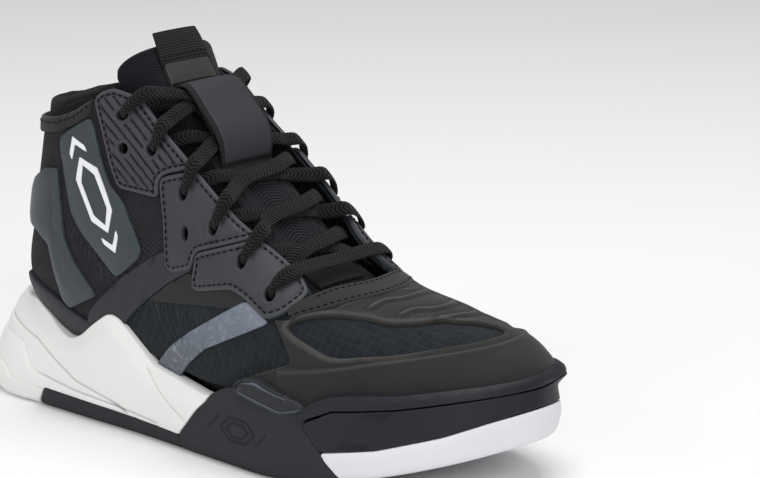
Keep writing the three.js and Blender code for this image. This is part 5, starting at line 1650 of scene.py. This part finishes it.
def build_stage(sizes):
    """Camera at the outer front quarter, pale floor and soft studio light."""
    azimuth, elevation = sizes.camera_azimuth, sizes.camera_elevation
    forward = np.array([-math.sin(azimuth) * math.cos(elevation), math.cos(azimuth) * math.cos(elevation),
                        -math.sin(elevation)])
    right = np.array([math.cos(azimuth), math.sin(azimuth), 0])
    up = np.cross(right, forward)
    aim = right * AIM_ALONG + up * AIM_UP
    place = (aim - forward * CAMERA_AWAY + SHIFT) / 1000
    camera = bpy.data.objects.new("camera", bpy.data.cameras.new("camera"))
    camera.data.sensor_width = 36.0
    camera.data.lens = CAMERA_LENS
    camera.data.clip_start, camera.data.clip_end = 0.05, 50
    camera.location = Vector(place)
    camera.rotation_mode = "QUATERNION"
    camera.rotation_quaternion = Matrix([right, up, -forward]).transposed().to_quaternion()
    bpy.context.scene.collection.objects.link(camera)
    bpy.context.scene.camera = camera

    mesh = bpy.data.meshes.new("floor")
    mesh.from_pydata([(-6, -6, 0), (6, -6, 0), (6, 6, 0), (-6, 6, 0)], [], [(0, 1, 2, 3)])
    floor = bpy.data.objects.new("floor", mesh)
    bpy.context.scene.collection.objects.link(floor)
    f = Finish("floor")
    mesh.materials.append(f.paint(f.mix(f.noise(900.0), (0.92, 0.92, 0.92), (0.94, 0.94, 0.94)), 0.9))

    world = bpy.data.worlds.new("studio")
    world.use_nodes = True
    world.node_tree.nodes["Background"].inputs[0].default_value = (1.0, 1.0, 1.0, 1.0)
    world.node_tree.nodes["Background"].inputs[1].default_value = sizes.room_light
    bpy.context.scene.world = world
    add_light("overhead", (0.15, 0.1, 1.6), (0, 0, 0.05), (1.4, 1.0), 18)
    add_light("toe_side", (1.5, -0.9, 0.9), (0.05, 0, 0.06), (0.9, 0.9), 10)
    add_light("outer_side", (-0.7, -1.6, 0.8), (-0.02, 0, 0.08), (1.0, 0.8), 6)
    bpy.context.scene.view_settings.view_transform = "Standard"


# ---- settings --------------------------------------------------------------------------------------
def length(name, description, default):
    """A length setting in metres."""
    return bpy.props.FloatProperty(name=name, description=description, default=default, min=0,
                                   unit="LENGTH", subtype="DISTANCE", precision=5)


def colour(name, description, rgb):
    """A colour setting."""
    return bpy.props.FloatVectorProperty(name=name, description=description, default=linear(*rgb), size=3,
                                         min=0, max=1, subtype="COLOR")


class SneakerSizes(bpy.types.PropertyGroup):
    """Sizes of the details a user would change."""
    rib_pitch: length("Rib pitch", "Distance between the collar ribs", 0.0036)
    rib_depth: length("Rib depth", "Depth of the grooves between the collar ribs", 0.0009)
    eyelet_radius: length("Eyelet radius", "Radius of the punched lace holes", 0.0026)
    lace_width: length("Lace width", "Width of the flat lace", 0.007)
    lace_thickness: length("Lace thickness", "Thickness of the flat lace", 0.0017)
    sole_edge: length("Sole edge", "Radius of the moulded sole edges", 0.0009)
    tread_depth: length("Tread depth", "Depth of the tread pattern", 0.0014)
    camera_azimuth: bpy.props.FloatProperty(name="Camera azimuth",
                                            description="Camera turn from the outer side",
                                            default=math.radians(41), subtype="ANGLE")
    camera_elevation: bpy.props.FloatProperty(name="Camera elevation",
                                              description="Camera height as an angle",
                                              default=math.radians(13.5), subtype="ANGLE")
    room_light: bpy.props.FloatProperty(name="Room light",
                                        description="Strength of the even light from all round",
                                        default=0.36, min=0)


class SneakerColours(bpy.types.PropertyGroup):
    """Colours of the shoe's materials."""
    foam: colour("Midsole foam", "White heel midsole", (236, 236, 234))
    toe_rubber: colour("Toe outsole", "White rubber under the toe", (224, 224, 228))
    shell: colour("Shell", "Charcoal sole rubber", (38, 39, 44))
    bumper: colour("Bumper", "Bluish black toe bumper", (24, 27, 33))
    strap: colour("Strap and rand", "Moulded strap and heel rand", (44, 45, 50))
    ankle_plate: colour("Ankle plate", "Slate moulded plates", (56, 64, 68))
    graphic: colour("Emblem", "Painted emblem", (240, 240, 244))
    film: colour("Film", "Bonded film over the midfoot", (34, 33, 34))
    leather: colour("Leather", "Laced facings", (54, 56, 60))
    ribbed: colour("Ribbed leather", "Ribbed collar panels", (57, 58, 63))
    ballistic: colour("Quarter fabric", "Coarse weave", (20, 19, 22))
    mesh: colour("Forefoot mesh", "Ripstop mesh", (15, 18, 21))
    nubuck: colour("Nubuck", "Moulded toe cap", (36, 35, 35))
    nubuck_lit: colour("Nubuck nap", "Toe cap where its nap catches light", (96, 94, 91))
    tape: colour("Reflective tape", "Ground of the reflective stripe", (84, 93, 106))
    tape_lit: colour("Reflective blotches", "Bright blotches of the stripe", (130, 140, 155))
    tongue: colour("Tongue", "Tongue knit", (17, 18, 22))
    lining: colour("Lining", "Padded lining mesh", (13, 14, 16))
    webbing: colour("Webbing", "Tapes on the tongue", (30, 29, 30))
    band: colour("Lock band", "Smooth face of the lace-lock band", (50, 50, 56))
    badge: colour("Badge", "Glossy badge on the tongue", (58, 57, 55))
    lace: colour("Lace", "Braided lace", (24, 23, 24))
    thread: colour("Thread", "Stitching", (8, 8, 9))
    board: colour("Board", "Hidden fibre boards", (140, 130, 116))
    guard: colour("Foam", "Hidden foam and insole", (58, 60, 64))
    steel: colour("Steel", "Shank", (143, 146, 150))


class SneakerStep(bpy.types.Operator):
    """What the steps share."""
    bl_options = {"REGISTER", "UNDO"}

    def build(self, sizes):
        """Makes this step's pieces."""
        raise NotImplementedError

    def execute(self, context):
        if not FINISHES:
            make_finishes(context.scene.sneaker_colours)
        self.build(context.scene.sneaker_sizes)
        return {"FINISHED"}


class SNEAKER_OT_stage(SneakerStep):
    """Adds the camera, the floor and the lights"""
    bl_idname, bl_label = "sneaker.stage", "Stage"

    def build(self, sizes): build_stage(sizes)


class SNEAKER_OT_sole(SneakerStep):
    """Builds the moulded sole pieces and the treads"""
    bl_idname, bl_label = "sneaker.sole", "Sole"

    def build(self, sizes): build_sole(sizes)


class SNEAKER_OT_base(SneakerStep):
    """Builds the fabric layer of the upper"""
    bl_idname, bl_label = "sneaker.base", "Base fabrics"

    def build(self, sizes): build_base(sizes)


class SNEAKER_OT_toe(SneakerStep):
    """Builds the moulded toe cap and the throat band"""
    bl_idname, bl_label = "sneaker.toe", "Toe"

    def build(self, sizes): build_toe(sizes)


class SNEAKER_OT_side(SneakerStep):
    """Builds the facings, straps, stripe and ankle plates"""
    bl_idname, bl_label = "sneaker.side", "Side panels"

    def build(self, sizes): build_side_panels(sizes)


class SNEAKER_OT_heel(SneakerStep):
    """Builds the heel fin, the rand and the collar's edge tape"""
    bl_idname, bl_label = "sneaker.heel", "Heel"

    def build(self, sizes): build_heel(sizes)


class SNEAKER_OT_inside(SneakerStep):
    """Builds the collar padding, the lining and the insole"""
    bl_idname, bl_label = "sneaker.inside", "Inside"

    def build(self, sizes): build_inside(sizes)


class SNEAKER_OT_tongue(SneakerStep):
    """Builds the tongue and what is sewn on it"""
    bl_idname, bl_label = "sneaker.tongue", "Tongue"

    def build(self, sizes): build_tongue(sizes)


class SNEAKER_OT_laces(SneakerStep):
    """Builds the braided lace"""
    bl_idname, bl_label = "sneaker.laces", "Laces"

    def build(self, sizes): build_laces(sizes)


class SNEAKER_OT_hidden(SneakerStep):
    """Gives the hidden solid pieces their finishes"""
    bl_idname, bl_label = "sneaker.hidden", "Hidden pieces"

    def build(self, sizes): dress_hidden()


STEPS = (SNEAKER_OT_stage, SNEAKER_OT_sole, SNEAKER_OT_base, SNEAKER_OT_toe, SNEAKER_OT_side,
         SNEAKER_OT_heel, SNEAKER_OT_inside, SNEAKER_OT_tongue, SNEAKER_OT_laces, SNEAKER_OT_hidden)


class SNEAKER_PT_panel(bpy.types.Panel):
    """Lists the settings and the steps"""
    bl_label = "Riding Sneaker"
    bl_idname = "SNEAKER_PT_panel"
    bl_space_type = "VIEW_3D"
    bl_region_type = "UI"
    bl_category = "Sneaker"

    def draw(self, context):
        for group in (context.scene.sneaker_sizes, context.scene.sneaker_colours):
            box = self.layout.box()
            for key in type(group).__annotations__:
                box.prop(group, key)
        for step in STEPS:
            self.layout.operator(step.bl_idname)


CLASSES = (SneakerSizes, SneakerColours, *STEPS, SNEAKER_PT_panel)


def register():
    """Adds the classes and the scene's settings."""
    for c in CLASSES:
        bpy.utils.register_class(c)
    bpy.types.Scene.sneaker_sizes = bpy.props.PointerProperty(type=SneakerSizes)
    bpy.types.Scene.sneaker_colours = bpy.props.PointerProperty(type=SneakerColours)


def unregister():
    """Takes them away again."""
    del bpy.types.Scene.sneaker_colours
    del bpy.types.Scene.sneaker_sizes
    for c in reversed(CLASSES):
        bpy.utils.unregister_class(c)


def main():
    """Runs every step in order."""
    register()
    for step in STEPS:
        group, name = step.bl_idname.split(".")
        getattr(getattr(bpy.ops, group), name)()


if __name__ == "__main__":
    main()
